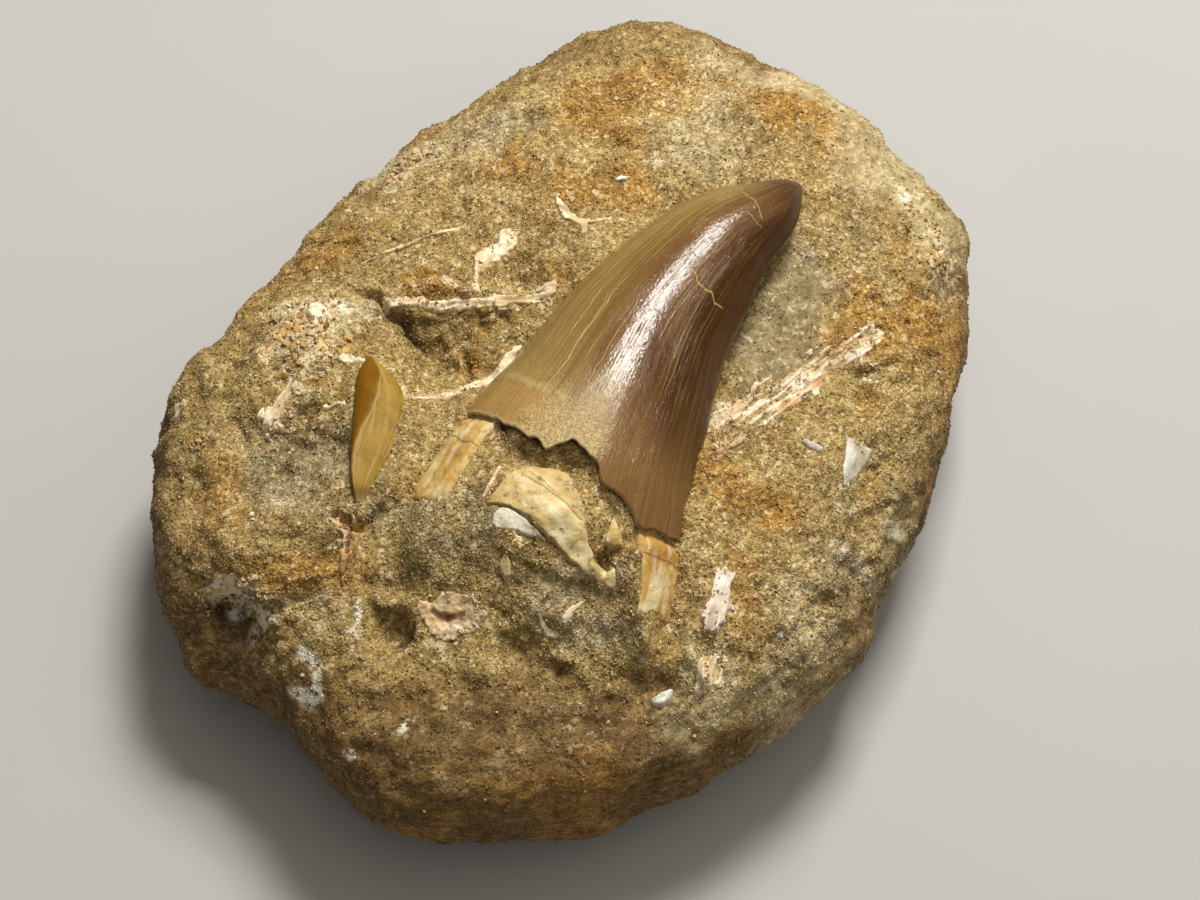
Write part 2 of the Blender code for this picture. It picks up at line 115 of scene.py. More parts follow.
# Narrow cracks and chisel cuts: a line in plan, how deep, how wide.
CUTS = (
    (((-27.0, 11.0), (-23.5, 8.8), (-21.0, 6.4), (-19.1, 4.9), (-16.4, 2.4)), 2.2, 0.45),
    (((18.0, -16.4), (19.6, -15.6), (21.4, -16.2)), 0.8, 0.4),
    (((5.8, 30.2), (7.0, 29.3), (8.4, 29.9)), 0.9, 0.45),
    (((33.6, -2.6), (35.0, -1.2), (37.2, -0.8)), 1.0, 0.5),
    (((-27.6, -21.4), (-25.6, -22.3), (-23.6, -21.4), (-21.0, -19.4)), 1.3, 0.45),
    (((-41.6, -5.4), (-39.4, -8.3), (-37.6, -11.3)), 0.7, 0.5),
    (((-12.9, 3.4), (-12.2, 0.6), (-12.0, -2.8)), 1.3, 0.5),
    (((45.4, 11.4), (46.6, 13.6), (47.8, 15.6)), 1.6, 0.7),
    (((-43.0, -29.0), (-39.4, -29.2), (-36.4, -31.0)), 2.4, 1.1),
)
# Small pits: x, y, radius, depth.
PITS = (
    (-19.0, -33.6, 1.6, 1.2), (-30.6, -6.4, 1.6, 0.9), (-27.4, -11.8, 2.2, 0.9), (-33.6, -14.0, 1.4, 0.7),
    (-15.5, -0.4, 2.0, 0.8), (-24.0, 0.6, 1.2, 0.8), (4.9, -28.4, 1.15, 1.5), (33.0, -27.0, 2.4, 0.6),
    (21.6, 27.6, 1.6, 0.7), (18.4, 33.8, 1.5, 0.5), (4.0, 24.6, 1.8, 0.6), (-38.6, 3.0, 1.6, 0.8),
    (12.6, -34.4, 1.6, 0.6), (-12.0, -41.4, 2.2, 0.7), (3.0, -44.6, 1.4, 0.8), (27.0, -24.0, 1.7, 0.6),
    (40.6, 10.6, 1.8, 0.8), (34.0, 19.6, 1.4, 0.6), (-25.0, 26.0, 1.6, 0.5), (-3.8, 35.0, 1.7, 0.6),
)

# ---- Stains of the stone, with painted shade and painted light among them: x, y, half length, half width, turn in degrees, strength ----
STAINS = {
    "rust": (
        (11.0, 40.4, 9.0, 4.0, 0.0, 0.9), (7.0, 33.0, 4.5, 5.0, 0.0, 0.8),
        (5.0, 22.4, 8.5, 4.0, 8.0, 0.9), (-7.4, 26.8, 4.0, 6.5, -40.0, 0.7),
        (29.6, 37.2, 8.0, 3.0, -25.0, 0.9), (32.6, 32.0, 3.6, 3.0, 0.0, 1.1),
        (38.0, 4.4, 7.0, 3.0, 10.0, 0.8), (47.6, 4.0, 3.0, 8.0, 0.0, 0.7),
        (-42.0, -15.6, 5.5, 6.5, 0.0, 0.7), (-29.0, 17.0, 6.0, 3.0, 10.0, 0.8),
        (-17.0, 9.4, 3.6, 1.8, 0.0, 1.1), (17.6, -10.4, 2.2, 6.0, 0.0, 1.0),
        (23.4, -18.4, 6.0, 3.6, 0.0, 0.8), (0.6, -52.8, 11.0, 5.0, -10.0, 0.45),
        (4.6, -28.6, 2.2, 1.4, -20.0, 1.2), (21.0, -31.0, 2.6, 5.0, 0.0, 0.8),
        (8.0, -48.6, 8.0, 4.0, 20.0, 0.35), (-27.8, -26.6, 3.2, 4.0, 20.0, 0.9),
        (-11.6, 3.0, 0.9, 6.0, 0.0, 1.0), (-31.4, 3.4, 4.4, 4.0, 0.0, 0.6),
        (-20.0, -41.0, 8.0, 4.0, 0.0, 0.4), (42.4, 12.0, 4.0, 6.0, 0.0, 0.6),
        (12.0, -38.0, 5.0, 3.5, 0.0, 0.5), (-2.0, 10.6, 4.0, 5.0, 40.0, 0.55),
        (-38.0, 12.0, 5.0, 6.0, 0.0, 0.5),
    ),
    "pale": (
        (15.4, 31.4, 8.0, 9.0, 20.0, 0.75), (-20.4, 29.6, 3.4, 4.6, -35.0, 1.1),
        (38.8, 28.4, 7.0, 4.4, -45.0, 1.2), (45.0, 20.8, 3.0, 6.0, 20.0, 1.2),
        (29.0, 42.6, 10.0, 2.6, -18.0, 1.2), (39.4, 37.0, 7.0, 2.6, -48.0, 1.2),
        (47.0, 15.6, 2.6, 3.4, 0.0, 1.2), (-26.4, 7.8, 5.4, 3.0, 0.0, 1.0),
        (-9.4, 34.6, 9.0, 4.6, 20.0, 0.6), (-31.0, 3.6, 6.6, 5.6, 0.0, 0.7),
        (29.0, -32.0, 9.0, 6.0, 0.0, 0.5), (37.0, -18.0, 6.0, 6.0, 0.0, 0.55),
        # The pale patch at (2.6, -34.4) is painted light: it brightens the shaded low side of the ledges in
        # front of the tooth.
        (24.0, -40.6, 8.0, 3.4, 30.0, 0.55), (2.6, -34.4, 6.0, 3.0, -20.0, 0.6),
        (18.8, -8.0, 2.6, 4.6, -10.0, 1.0), (-9.0, 22.6, 6.0, 6.0, 0.0, 0.4),
        (17.0, -41.0, 2.4, 3.4, 20.0, 0.8), (-36.6, -28.6, 5.0, 2.0, -20.0, 0.6),
        (9.0, -29.6, 3.0, 2.4, 0.0, 0.6), (-2.0, -31.4, 9.0, 2.6, -14.0, 0.5),
        (-27.4, -33.0, 5.0, 5.0, 0.0, 0.4),
    ),
    "grey": (
        (27.0, 10.2, 4.6, 8.4, -18.0, 1.2), (27.6, 2.6, 6.6, 3.4, 20.0, 1.0),
        (-11.0, 35.0, 5.0, 4.0, 20.0, 0.6), (36.0, -24.0, 7.0, 9.0, 0.0, 0.5),
        (-27.0, -14.0, 6.0, 6.0, 0.0, 0.7), (-5.0, -25.0, 9.0, 3.6, -20.0, 0.5),
        (26.0, -3.0, 6.0, 3.0, 20.0, 0.5), (-20.0, -22.0, 8.0, 5.0, 0.0, 0.5),
        (13.8, -44.6, 3.0, 3.4, 0.0, 0.8), (-34.0, -13.0, 6.0, 5.0, 0.0, 0.4),
    ),
    "umber": (
        # Many umber patches are painted shade rather than stain: in the groove at (-19, 5), the pits at
        # (-19.2, -33.6) and (4.8, -28.4), the undercut at (-40, -30), under the crown's broken edge at (0,
        # -17), along the tooth's right side at (17.4, 4.4), below the ledges at (3, -32.8) and (-1.6,
        # -38.6), and over the low front at (-7, -43.6).
        (-19.0, 5.0, 3.6, 1.0, -40.0, 0.7), (-19.2, -33.6, 2.2, 1.5, 0.0, 1.0),
        (-40.0, -30.0, 5.6, 3.0, -20.0, 1.2), (0.0, -17.0, 9.0, 1.4, -25.0, 0.65),
        (17.4, 4.4, 2.0, 11.0, -35.0, 0.7), (-31.6, -10.6, 5.4, 3.4, 20.0, 0.6),
        (3.0, -32.8, 7.0, 0.8, -14.0, 0.2), (-1.6, -38.6, 8.0, 1.2, -22.0, 0.35),
        (-7.0, -43.6, 17.0, 4.6, -8.0, 0.6), (-16.6, -47.4, 7.0, 3.6, 10.0, 0.5),
        (8.0, -48.0, 6.0, 2.6, 20.0, 0.6), (-4.0, 11.6, 4.4, 3.2, 30.0, 0.5),
        (4.8, -28.4, 1.7, 1.2, -20.0, 1.8), (23.4, 30.0, 3.4, 5.0, 0.0, 0.5),
        (20.0, 35.6, 5.0, 2.4, 0.0, 0.4), (-27.2, -24.0, 2.4, 2.2, 0.0, 0.8),
        (46.0, 13.0, 2.0, 2.6, 0.0, 0.8),
    ),
    "hash": (
        (-31.6, 5.4, 4.6, 3.8, 10.0, 1.3), (-33.4, 0.4, 3.4, 3.2, 0.0, 1.2),
        (-28.2, 1.6, 3.0, 2.2, 20.0, 1.1), (-31.0, -4.4, 3.0, 1.6, 20.0, 0.7),
        (45.8, 16.4, 2.6, 2.6, 0.0, 1.0), (-14.6, 8.8, 5.0, 1.0, 0.0, 1.0),
        (-39.6, -26.6, 4.6, 1.2, -10.0, 0.7), (35.6, -2.0, 2.0, 1.2, 0.0, 0.6),
        (-19.6, 28.6, 1.8, 2.6, -35.0, 0.7), (18.6, -9.6, 1.6, 3.4, -20.0, 0.6),
        (22.0, -4.6, 6.0, 2.0, 32.0, 0.7), (30.0, 1.0, 6.0, 1.6, 34.0, 0.6),
        (15.4, -41.0, 1.6, 2.4, 0.0, 0.5), (-7.6, 16.4, 2.2, 2.0, 0.0, 0.5),
        (-24.0, -10.6, 1.6, 3.4, 0.0, 0.35),
    ),
    "chalk": (
        (-38.4, -29.4, 1.5, 0.7, -50.0, 1.1), (-34.9, -31.5, 1.2, 1.0, 0.0, 1.1),
        (-29.0, -38.6, 1.0, 2.0, 30.0, 1.2), (-23.8, -32.2, 0.8, 1.5, 30.0, 1.1),
        (-17.6, -45.6, 1.3, 0.8, 0.0, 1.1), (-23.2, -46.0, 1.0, 0.5, -30.0, 1.0),
        (35.0, -25.0, 1.2, 1.7, 20.0, 0.8), (40.4, 25.2, 1.4, 0.9, 0.0, 1.2),
        (-26.2, 8.0, 2.4, 1.2, 0.0, 1.0), (-14.0, -36.2, 1.6, 0.8, 0.0, 0.6),
        (10.4, 27.4, 1.6, 1.0, 0.0, 0.6), (38.0, -19.4, 1.6, 1.0, 0.0, 0.6),
    ),
    "worn": (
        (38.6, 29.0, 8.0, 4.6, -45.0, 1.2), (45.0, 21.0, 3.4, 6.0, 20.0, 1.2),
        (30.0, 42.0, 12.0, 3.0, -20.0, 1.1), (27.0, 9.6, 5.0, 8.6, -18.0, 1.1),
        (28.0, 2.6, 6.4, 3.4, 20.0, 0.9), (-26.6, 8.4, 4.0, 2.6, 0.0, 1.0),
        (-29.0, -39.0, 3.0, 4.0, 30.0, 0.7), (13.8, -44.6, 3.0, 3.4, 0.0, 0.7),
        (-20.4, 29.6, 3.4, 4.6, -35.0, 0.8),
    ),
}
# How much of each stain also lies about at random.
STAINED_AT_RANDOM = {"rust": 0.9, "pale": 0.5, "grey": 0.7, "umber": 0.4, "hash": 0.25}

# ---- The mosasaur tooth, the same as the solid ----
HORN = (
    (-6.7, -32.7, 24.0, 18.6, 12.5),
    (-4.2, -26.3, 26.5, 17.8, 12.0),
    (0.3, -15.3, 29.0, 15.3, 11.0),
    (4.5, -6.9, 30.5, 12.5, 9.2),
    (9.3, 2.8, 31.5, 10.1, 7.6),
    (15.5, 11.3, 32.5, 7.8, 6.0),
    (19.5, 15.5, 33.0, 6.3, 5.0),
    (24.0, 18.6, 33.4, 4.2, 3.6),
    (26.6, 20.8, 33.6, 2.4, 2.2),
    (28.2, 22.0, 33.6, 0.6, 0.6),
)
HORN_LENGTH = 66.0
KEEL = 0.35
BREAK = (
    (-31.0, 6.6), (-8.2, -11.6), (-4.5, -14.3), (-2.1, -16.3), (0.7, -15.2), (4.0, -18.4), (3.9, -20.0),
    (6.8, -22.2), (9.0, -25.0), (29.0, -23.6),
)
FRONT = -60.0
SEAM_TURN = 270.0  # degrees round the tooth to where its sheet meets itself, down in the stone
ENAMEL_WALL = 0.55  # thickness that shows at the broken edge
BROKEN_RECESS = 3.0  # how far the hollow goes up inside it
STRIP_LAP = 1.2  # how far the strips of dentine go in under the enamel
STRIP_THICKNESS = 2.0

# The strips: degrees round the tooth of their right and left edges, the share of its length where they
# end, and how much they narrow towards there.
LEFT_STRIP = (131.0, 204.0, 0.130, 0.0)
RIGHT_STRIP = (-24.0, 46.0, 0.100, 0.18)
STRIP_SQUARES = (70, 100)
CROWN_SQUARES = 250  # squares round the crown
CROWN_RINGS = 230  # rings of squares from its broken edge to its tip
WALL_RINGS = 6  # rings of squares that turn in at the broken edge
# Where the sand lies level with the tooth's side: degrees round it at the lower and the upper end, and the
# shares of its length of both.
BEDDED = (
    (155.0, 155.0, 0.09, 0.25), (131.0, 131.0, 0.09, 0.24), (9.0, 18.0, 0.08, 0.22),
    (29.0, 44.0, 0.08, 0.16),
)
BED_REACH = 1.7  # how far the ground on both sides follows such a line
# The ground under the broken edge: degrees round the tooth, how far below the enamel, and its reach.
NOTCH_TURNS = (40.0, 136.0)
NOTCH_DROP = 0.9
NOTCH_REACH = 1.1
# Hairline cracks up the crown: degrees round it half way up, their lean, and where they start and end.
HAIRLINES = (
    (118.0, 0.30, 16.0, 42.0), (126.0, 0.12, 22.0, 58.0), (134.0, -0.12, 19.0, 47.0),
    (111.0, 0.22, 30.0, 57.0), (142.0, 0.05, 27.0, 53.0), (103.0, 0.30, 38.0, 60.0),
    (150.0, -0.15, 17.0, 38.0), (97.0, 0.15, 17.0, 31.0), (69.0, -0.22, 26.0, 38.0),
    (46.0, 0.05, 26.0, 36.0), (158.0, 0.05, 30.0, 55.0), (122.0, -0.35, 34.0, 50.0),
    (88.0, 0.25, 44.0, 58.0), (130.0, 0.40, 40.0, 56.0), (114.0, -0.10, 20.0, 34.0),
    (146.0, 0.30, 36.0, 50.0),
)
# Cracks across it: how far along, their slope in millimetres a degree, and the degrees where they start
# and end.
ACROSS = (
    (49.0, 0.0, 60.0, 140.0), (34.6, -0.012, 34.0, 84.0), (47.4, 0.02, 52.0, 84.0),
    (15.6, 0.05, 84.0, 104.0),
)

# ---- The fish fang: y, left edge, ridge, right edge, height of the ridge ----
FANG = (
    (0.8, -23.9, -23.6, -23.3, 0.4),
    (-1.0, -24.5, -22.7, -21.9, 1.3),
    (-2.8, -24.9, -22.1, -20.4, 1.8),
    (-5.3, -25.0, -22.2, -19.3, 2.1),
    (-8.3, -25.1, -23.0, -19.1, 2.2),
    (-11.0, -25.15, -24.1, -19.7, 2.0),
    (-13.5, -25.15, -24.8, -20.5, 1.8),
    (-16.0, -25.1, -24.9, -21.6, 1.6),
    (-18.0, -24.9, -24.6, -22.6, 1.3),
    (-19.6, -24.5, -24.2, -23.3, 0.9),
)
FANG_BED = 1.4  # how far its flat underside lies below the stone's general surface
FANG_MIDDLE = -22.6
FANG_SQUARES = (64, 130)
FANG_TOP_SHARE = 0.75  # share of the way round it that is its top, the rest is its underside

# ---- Flat fossils that lie in the surface ----
# Each has an outline in plan, its height over the stone, the width of its worn edge, how ragged the
# outline is, how uneven the top is, and the distance between its points.
SLABS = {
    "dentine_tongue": (
        (
            (-9.0, -21.7), (-8.3, -20.5), (-7.4, -19.4), (-6.6, -18.2), (-5.6, -17.4), (-4.0, -17.3),
            (-1.9, -17.7), (0.2, -18.6), (1.2, -19.6), (1.9, -21.8), (2.5, -24.4), (2.7, -26.6),
            (3.4, -28.3), (4.9, -28.9), (5.7, -28.6), (6.1, -29.8), (5.6, -31.1), (4.4, -30.5),
            (1.7, -29.4), (-0.2, -27.7), (-1.6, -26.4), (-3.2, -25.2), (-4.3, -24.0), (-5.7, -23.1),
            (-7.4, -22.4),
        ),
        0.55, 0.16, 0.15, 0.08, 0.13,
    ),
    "dentine_flake": (
        (
            (-8.6, -24.5), (-8.4, -23.3), (-7.4, -22.5), (-5.9, -23.0), (-4.4, -24.0), (-3.2, -25.2),
            (-2.0, -26.4), (-3.5, -26.1), (-4.8, -25.6), (-6.5, -25.2), (-7.9, -25.1),
        ),
        0.3, 0.2, 0.16, 0.06, 0.14,
    ),
    "dentine_chip": (
        ((5.6, -23.3), (4.9, -24.8), (4.4, -26.6), (5.5, -26.9), (6.9, -27.0), (6.6, -25.6), (6.1, -24.2)),
        0.9, 0.25, 0.1, 0.08, 0.12,
    ),
    "fish_scale": (
        ((-7.1, -27.2), (-7.7, -28.4), (-7.1, -29.8), (-6.2, -29.6), (-6.0, -28.4), (-6.4, -27.3)),
        0.55, 0.25, 0.06, 0.05, 0.1,
    ),
    "fang_root": (
        (
            (-27.6, -21.4), (-26.0, -19.9), (-24.6, -20.6), (-23.0, -20.2), (-22.4, -21.4),
            (-23.4, -23.8), (-24.8, -26.6), (-25.8, -28.8), (-26.6, -26.4), (-26.2, -23.6),
        ),
        0.5, 0.5, 0.45, 0.3, 0.14,
    ),
    "shark_tooth": (
        ((33.0, -10.4), (36.5, -11.1), (35.6, -12.8), (34.3, -14.9), (32.4, -17.2), (32.3, -14.4)),
        0.75, 0.3, 0.06, 0.05, 0.12,
    ),
    "bone_splinter": (
        (
            (18.6, -26.4), (19.7, -28.1), (19.2, -30.5), (19.5, -32.0), (17.6, -34.6), (16.2, -35.3),
            (15.9, -33.6), (16.1, -31.8), (16.6, -30.0), (17.3, -28.4),
        ),
        0.7, 0.3, 0.35, 0.14, 0.13,
    ),
    "cream_nodule": (
        ((15.2, -40.7), (15.3, -38.0), (16.5, -36.2), (18.1, -37.1), (18.3, -38.8), (17.4, -40.5)),
        0.45, 0.6, 0.45, 0.3, 0.14,
    ),
    "bone_rib": (
        (
            (-22.4, 8.7), (-22.0, 7.4), (-17.7, 7.0), (-12.8, 6.6), (-8.0, 6.5), (-4.4, 6.8), (-1.8, 7.4),
            (-0.6, 9.0), (-1.4, 10.4), (-4.0, 9.3), (-8.0, 8.2), (-12.8, 7.9), (-17.7, 8.4),
        ),
        0.3, 0.25, 0.34, 0.20, 0.12,
    ),
    "bone_plate": (
        (
            (-11.4, 8.1), (-10.2, 8.2), (-10.2, 10.6), (-9.3, 12.2), (-7.6, 13.0), (-6.0, 14.8),
            (-5.4, 17.3), (-8.3, 17.7), (-8.6, 15.9), (-10.4, 15.4), (-11.5, 13.6), (-11.7, 10.4),
        ),
        0.4, 0.3, 0.3, 0.26, 0.13,
    ),
    "y_bone": (
        (
            (-1.5, 21.8), (-1.5, 20.4), (-0.4, 18.4), (1.2, 17.5), (1.8, 16.0), (2.6, 16.4), (2.7, 17.7),
            (5.4, 18.5), (5.4, 19.0), (2.8, 18.6), (1.5, 18.7), (0.3, 19.5), (-0.6, 21.2),
        ),
        0.28, 0.25, 0.22, 0.16, 0.11,
    ),
    "bone_sliver": (
        (
            (-36.6, -7.4), (-35.0, -5.6), (-33.6, -3.6), (-32.4, -1.6), (-31.5, -3.6), (-32.6, -6.1),
            (-33.6, -8.7), (-35.2, -9.4),
        ),
        0.45, 0.5, 0.4, 0.3, 0.14,
    ),
    "spine_needle": (
        (
            (-25.3, 13.9), (-25.1, 13.2), (-20.3, 15.2), (-16.6, 16.5), (-12.1, 18.1), (-12.2, 18.9),
            (-16.8, 17.2), (-20.5, 15.8),
        ),
        0.25, 0.2, 0.10, 0.08, 0.12,
    ),
    "bone_band": (
        (
            (17.0, -14.4), (19.8, -11.4), (22.4, -8.8), (25.6, -6.4), (29.4, -4.0), (33.0, -0.8),
            (39.8, 4.6), (35.6, 4.4), (31.0, 2.8), (27.3, 0.8), (23.4, -0.8), (19.6, -3.2), (17.6, -6.6),
            (16.8, -10.4),
        ),
        0.02, 0.35, 0.6, 0.30, 0.14,
    ),
    "shell_flake": (
        (
            (-17.6, -30.1), (-15.6, -31.2), (-13.3, -29.9), (-10.4, -30.5), (-9.0, -32.7), (-10.0, -34.5),
            (-13.3, -35.5), (-15.6, -35.0), (-16.7, -33.2),
        ),
        0.4, 0.3, 0.35, 0.25, 0.13,
    ),
    "white_chip": (
        ((9.6, -41.4), (10.9, -40.1), (12.5, -40.3), (12.3, -41.6), (11.4, -42.7), (10.0, -42.3)),
        0.75, 0.5, 0.2, 0.12, 0.12,
    ),
}
# Thin crusts and flakes too slight to be solids, in the same terms.
CRUSTS = {
    "cementum_rim": (
        (
            (-21.8, -2.5), (-20.0, -3.2), (-17.4, -4.6), (-15.0, -4.0), (-12.2, -2.7), (-10.0, -2.0),
            (-8.2, -0.4), (-6.6, 2.0), (-5.2, 1.6), (-6.8, -2.0), (-9.6, -4.0), (-12.0, -4.9),
            (-15.0, -6.0), (-17.6, -6.4), (-20.2, -4.8),
        ),
        0.3, 0.3, 0.25, 0.2, 0.13,
    ),
    "rim_flake": (
        ((-23.4, 28.0), (-21.4, 30.6), (-18.0, 32.6), (-17.4, 31.2), (-19.6, 29.2), (-21.6, 27.2)),
        0.4, 0.4, 0.4, 0.2, 0.15,
    ),
    "rim_chip": (
        ((44.4, 13.4), (45.0, 16.4), (46.4, 18.4), (48.0, 17.6), (48.4, 15.0), (46.6, 13.0)),
        0.5, 0.4, 0.5, 0.35, 0.15,
    ),
    "front_crust": (
        ((-43.6, -26.8), (-40.4, -25.8), (-37.6, -27.0), (-37.8, -28.2), (-40.4, -27.6), (-42.8, -28.0)),
        0.35, 0.5, 0.4, 0.3, 0.15,
    ),
    "front_chip": (
        ((-37.0, -28.6), (-35.0, -29.4), (-34.2, -31.2), (-35.2, -32.4), (-36.4, -31.0)),
        0.3, 0.5, 0.4, 0.2, 0.15,
    ),
    "v_splinter": (
        ((-3.4, -32.8), (-2.9, -32.7), (-2.0, -34.2), (-0.6, -34.8), (-0.3, -35.4), (-1.6, -35.4),
         (-2.9, -34.6)),
        0.3, 0.2, 0.15, 0.1, 0.12,
    ),
    "second_splinter": (
        ((-0.6, -33.6), (0.6, -32.4), (2.4, -31.4), (2.6, -31.8), (1.2, -33.2), (0.0, -34.2)),
        0.3, 0.2, 0.15, 0.1, 0.12,
    ),
    "grey_sliver": (
        ((27.4, -11.0), (28.4, -10.2), (30.4, -11.8), (30.2, -12.6), (28.6, -12.2)),
        0.22, 0.3, 0.15, 0.1, 0.13,
    ),
    "white_oval": (
        ((5.4, 24.6), (6.4, 25.2), (7.6, 24.9), (7.4, 24.3), (6.2, 24.1)),
        0.4, 0.3, 0.1, 0.05, 0.11,
    ),
    "small_oval": (
        ((-7.6, -12.0), (-6.4, -11.6), (-5.4, -12.1), (-6.0, -12.7), (-7.2, -12.7)),
        0.3, 0.3, 0.1, 0.05, 0.11,
    ),
    "white_sliver": (
        ((24.0, -34.4), (24.6, -33.4), (25.5, -33.6), (25.2, -34.6)),
        0.35, 0.3, 0.15, 0.1, 0.12,
    ),
    "edge_lump": (
        ((-48.0, -4.8), (-47.6, -2.4), (-45.8, -2.2), (-45.4, -4.0), (-46.6, -5.2)),
        0.6, 0.8, 0.3, 0.2, 0.15,
    ),
    "hash_lump": (
        ((-31.6, 7.8), (-29.9, 8.6), (-27.9, 7.8), (-27.9, 5.3), (-29.3, 3.4), (-31.0, 4.2), (-32.0, 6.1)),
        0.25, 0.5, 0.8, 0.45, 0.14,
    ),
    "ochre_crust": (
        ((-35.3, 4.2), (-33.9, 5.3), (-31.9, 4.8), (-30.6, 3.1), (-32.1, 1.4), (-34.0, 2.0)),
        0.25, 0.4, 1.0, 0.5, 0.14,
    ),
    "ochre_branch": (
        ((-30.4, 2.4), (-27.8, 3.3), (-25.4, 2.4), (-24.4, 1.0), (-26.3, -0.2), (-28.6, 0.6)),
        0.2, 0.4, 1.1, 0.5, 0.14,
    ),
    "white_crumble": (
        ((-27.4, -0.1), (-25.8, 0.6), (-24.0, -0.4), (-25.0, -1.9), (-26.9, -1.6)),
        0.3, 0.4, 0.9, 0.5, 0.13,
    ),
    "white_seam": (
        ((-31.8, -7.2), (-28.4, -5.9), (-24.9, -5.0), (-24.9, -5.7), (-28.4, -6.7), (-31.6, -8.0)),
        0.12, 0.4, 0.35, 0.25, 0.13,
    ),
    "left_needle": (
        ((-9.8, -20.8), (-8.9, -19.2), (-7.7, -16.8), (-7.2, -17.0), (-8.4, -19.6), (-9.3, -21.2)),
        0.2, 0.15, 0.08, 0.08, 0.11,
    ),
    "brown_bits": (
        ((-7.4, -25.5), (-5.7, -25.6), (-4.1, -26.0), (-5.2, -26.8), (-6.6, -26.6)),
        0.1, 0.3, 0.8, 0.4, 0.13,
    ),
    "left_square": (
        ((-37.4, -20.6), (-37.0, -19.6), (-36.0, -19.8), (-36.2, -20.9)),
        0.3, 0.3, 0.1, 0.08, 0.12,
    ),
}
FLAT_FOSSILS = SLABS | CRUSTS
# Those with fine fibres along their length.
FIBROUS = ("bone_band", "bone_splinter", "bone_rib", "spine_needle", "cream_nodule", "bone_sliver")
SLAB_FOOT = 18.0  # fossils are cut off below this height, down the block's side
SLAB_LEVEL = 20.0  # the stone keeps under them only above this height
SLAB_THICKNESS = 0.8
SLAB_DEPTH = 0.7  # how far each goes under the stone round its outline
SLAB_SKIRT = 0.45  # how far each goes on outside its outline, under the stone
SLAB_CLEARANCE = 0.22  # how far the stone keeps under their tops
# Cracks across some of them: a line in plan, its depth and its half width.
SLAB_CRACKS = {
    "dentine_tongue": (
        (((-5.5, -17.8), (-3.8, -19.5), (-2.2, -20.9), (0.0, -22.5), (1.1, -23.7),
          (2.3, -24.8)), 0.12, 0.09),
        (((-4.5, -17.6), (-2.7, -19.7), (-1.3, -21.1), (-0.3, -22.0)), 0.07, 0.06),
        (((0.4, -27.4), (1.6, -26.4), (2.6, -26.6)), 0.08, 0.06),
    ),
    "shell_flake": ((((-15.8, -32.0), (-13.6, -33.0), (-11.2, -32.6)), 0.25, 0.5),),
    "fang_root": ((((-25.2, -20.4), (-25.0, -23.0), (-25.4, -26.0)), 0.5, 0.28),),
}

# Where some are stained dark: x, y, half length, half width, turn in degrees, strength.
SLAB_STAINS = {
    "dentine_tongue": (
        (0.4, -20.6, 3.8, 1.8, -52.0, 0.9), (-8.7, -21.5, 1.6, 1.2, 0.0, 1.1),
        (-5.6, -19.8, 3.0, 1.6, -35.0, 0.6), (4.2, -30.0, 1.6, 0.9, -20.0, 0.6),
    ),
    "shell_flake": ((-13.4, -32.8, 3.0, 1.5, 0.0, 0.9),),
    "bone_band": ((17.4, -11.8, 2.4, 4.4, -20.0, 1.2),),
    "fang_root": ((-25.0, -22.6, 1.6, 5.0, 0.0, 0.8),),
    "bone_rib": ((-19.8, 7.8, 3.0, 1.2, 0.0, 0.7),),
    "shark_tooth": ((35.2, -12.6, 1.2, 2.4, 20.0, 0.7),),
    "bone_plate": ((-10.4, 11.0, 1.2, 3.0, 0.0, 0.4),),
}

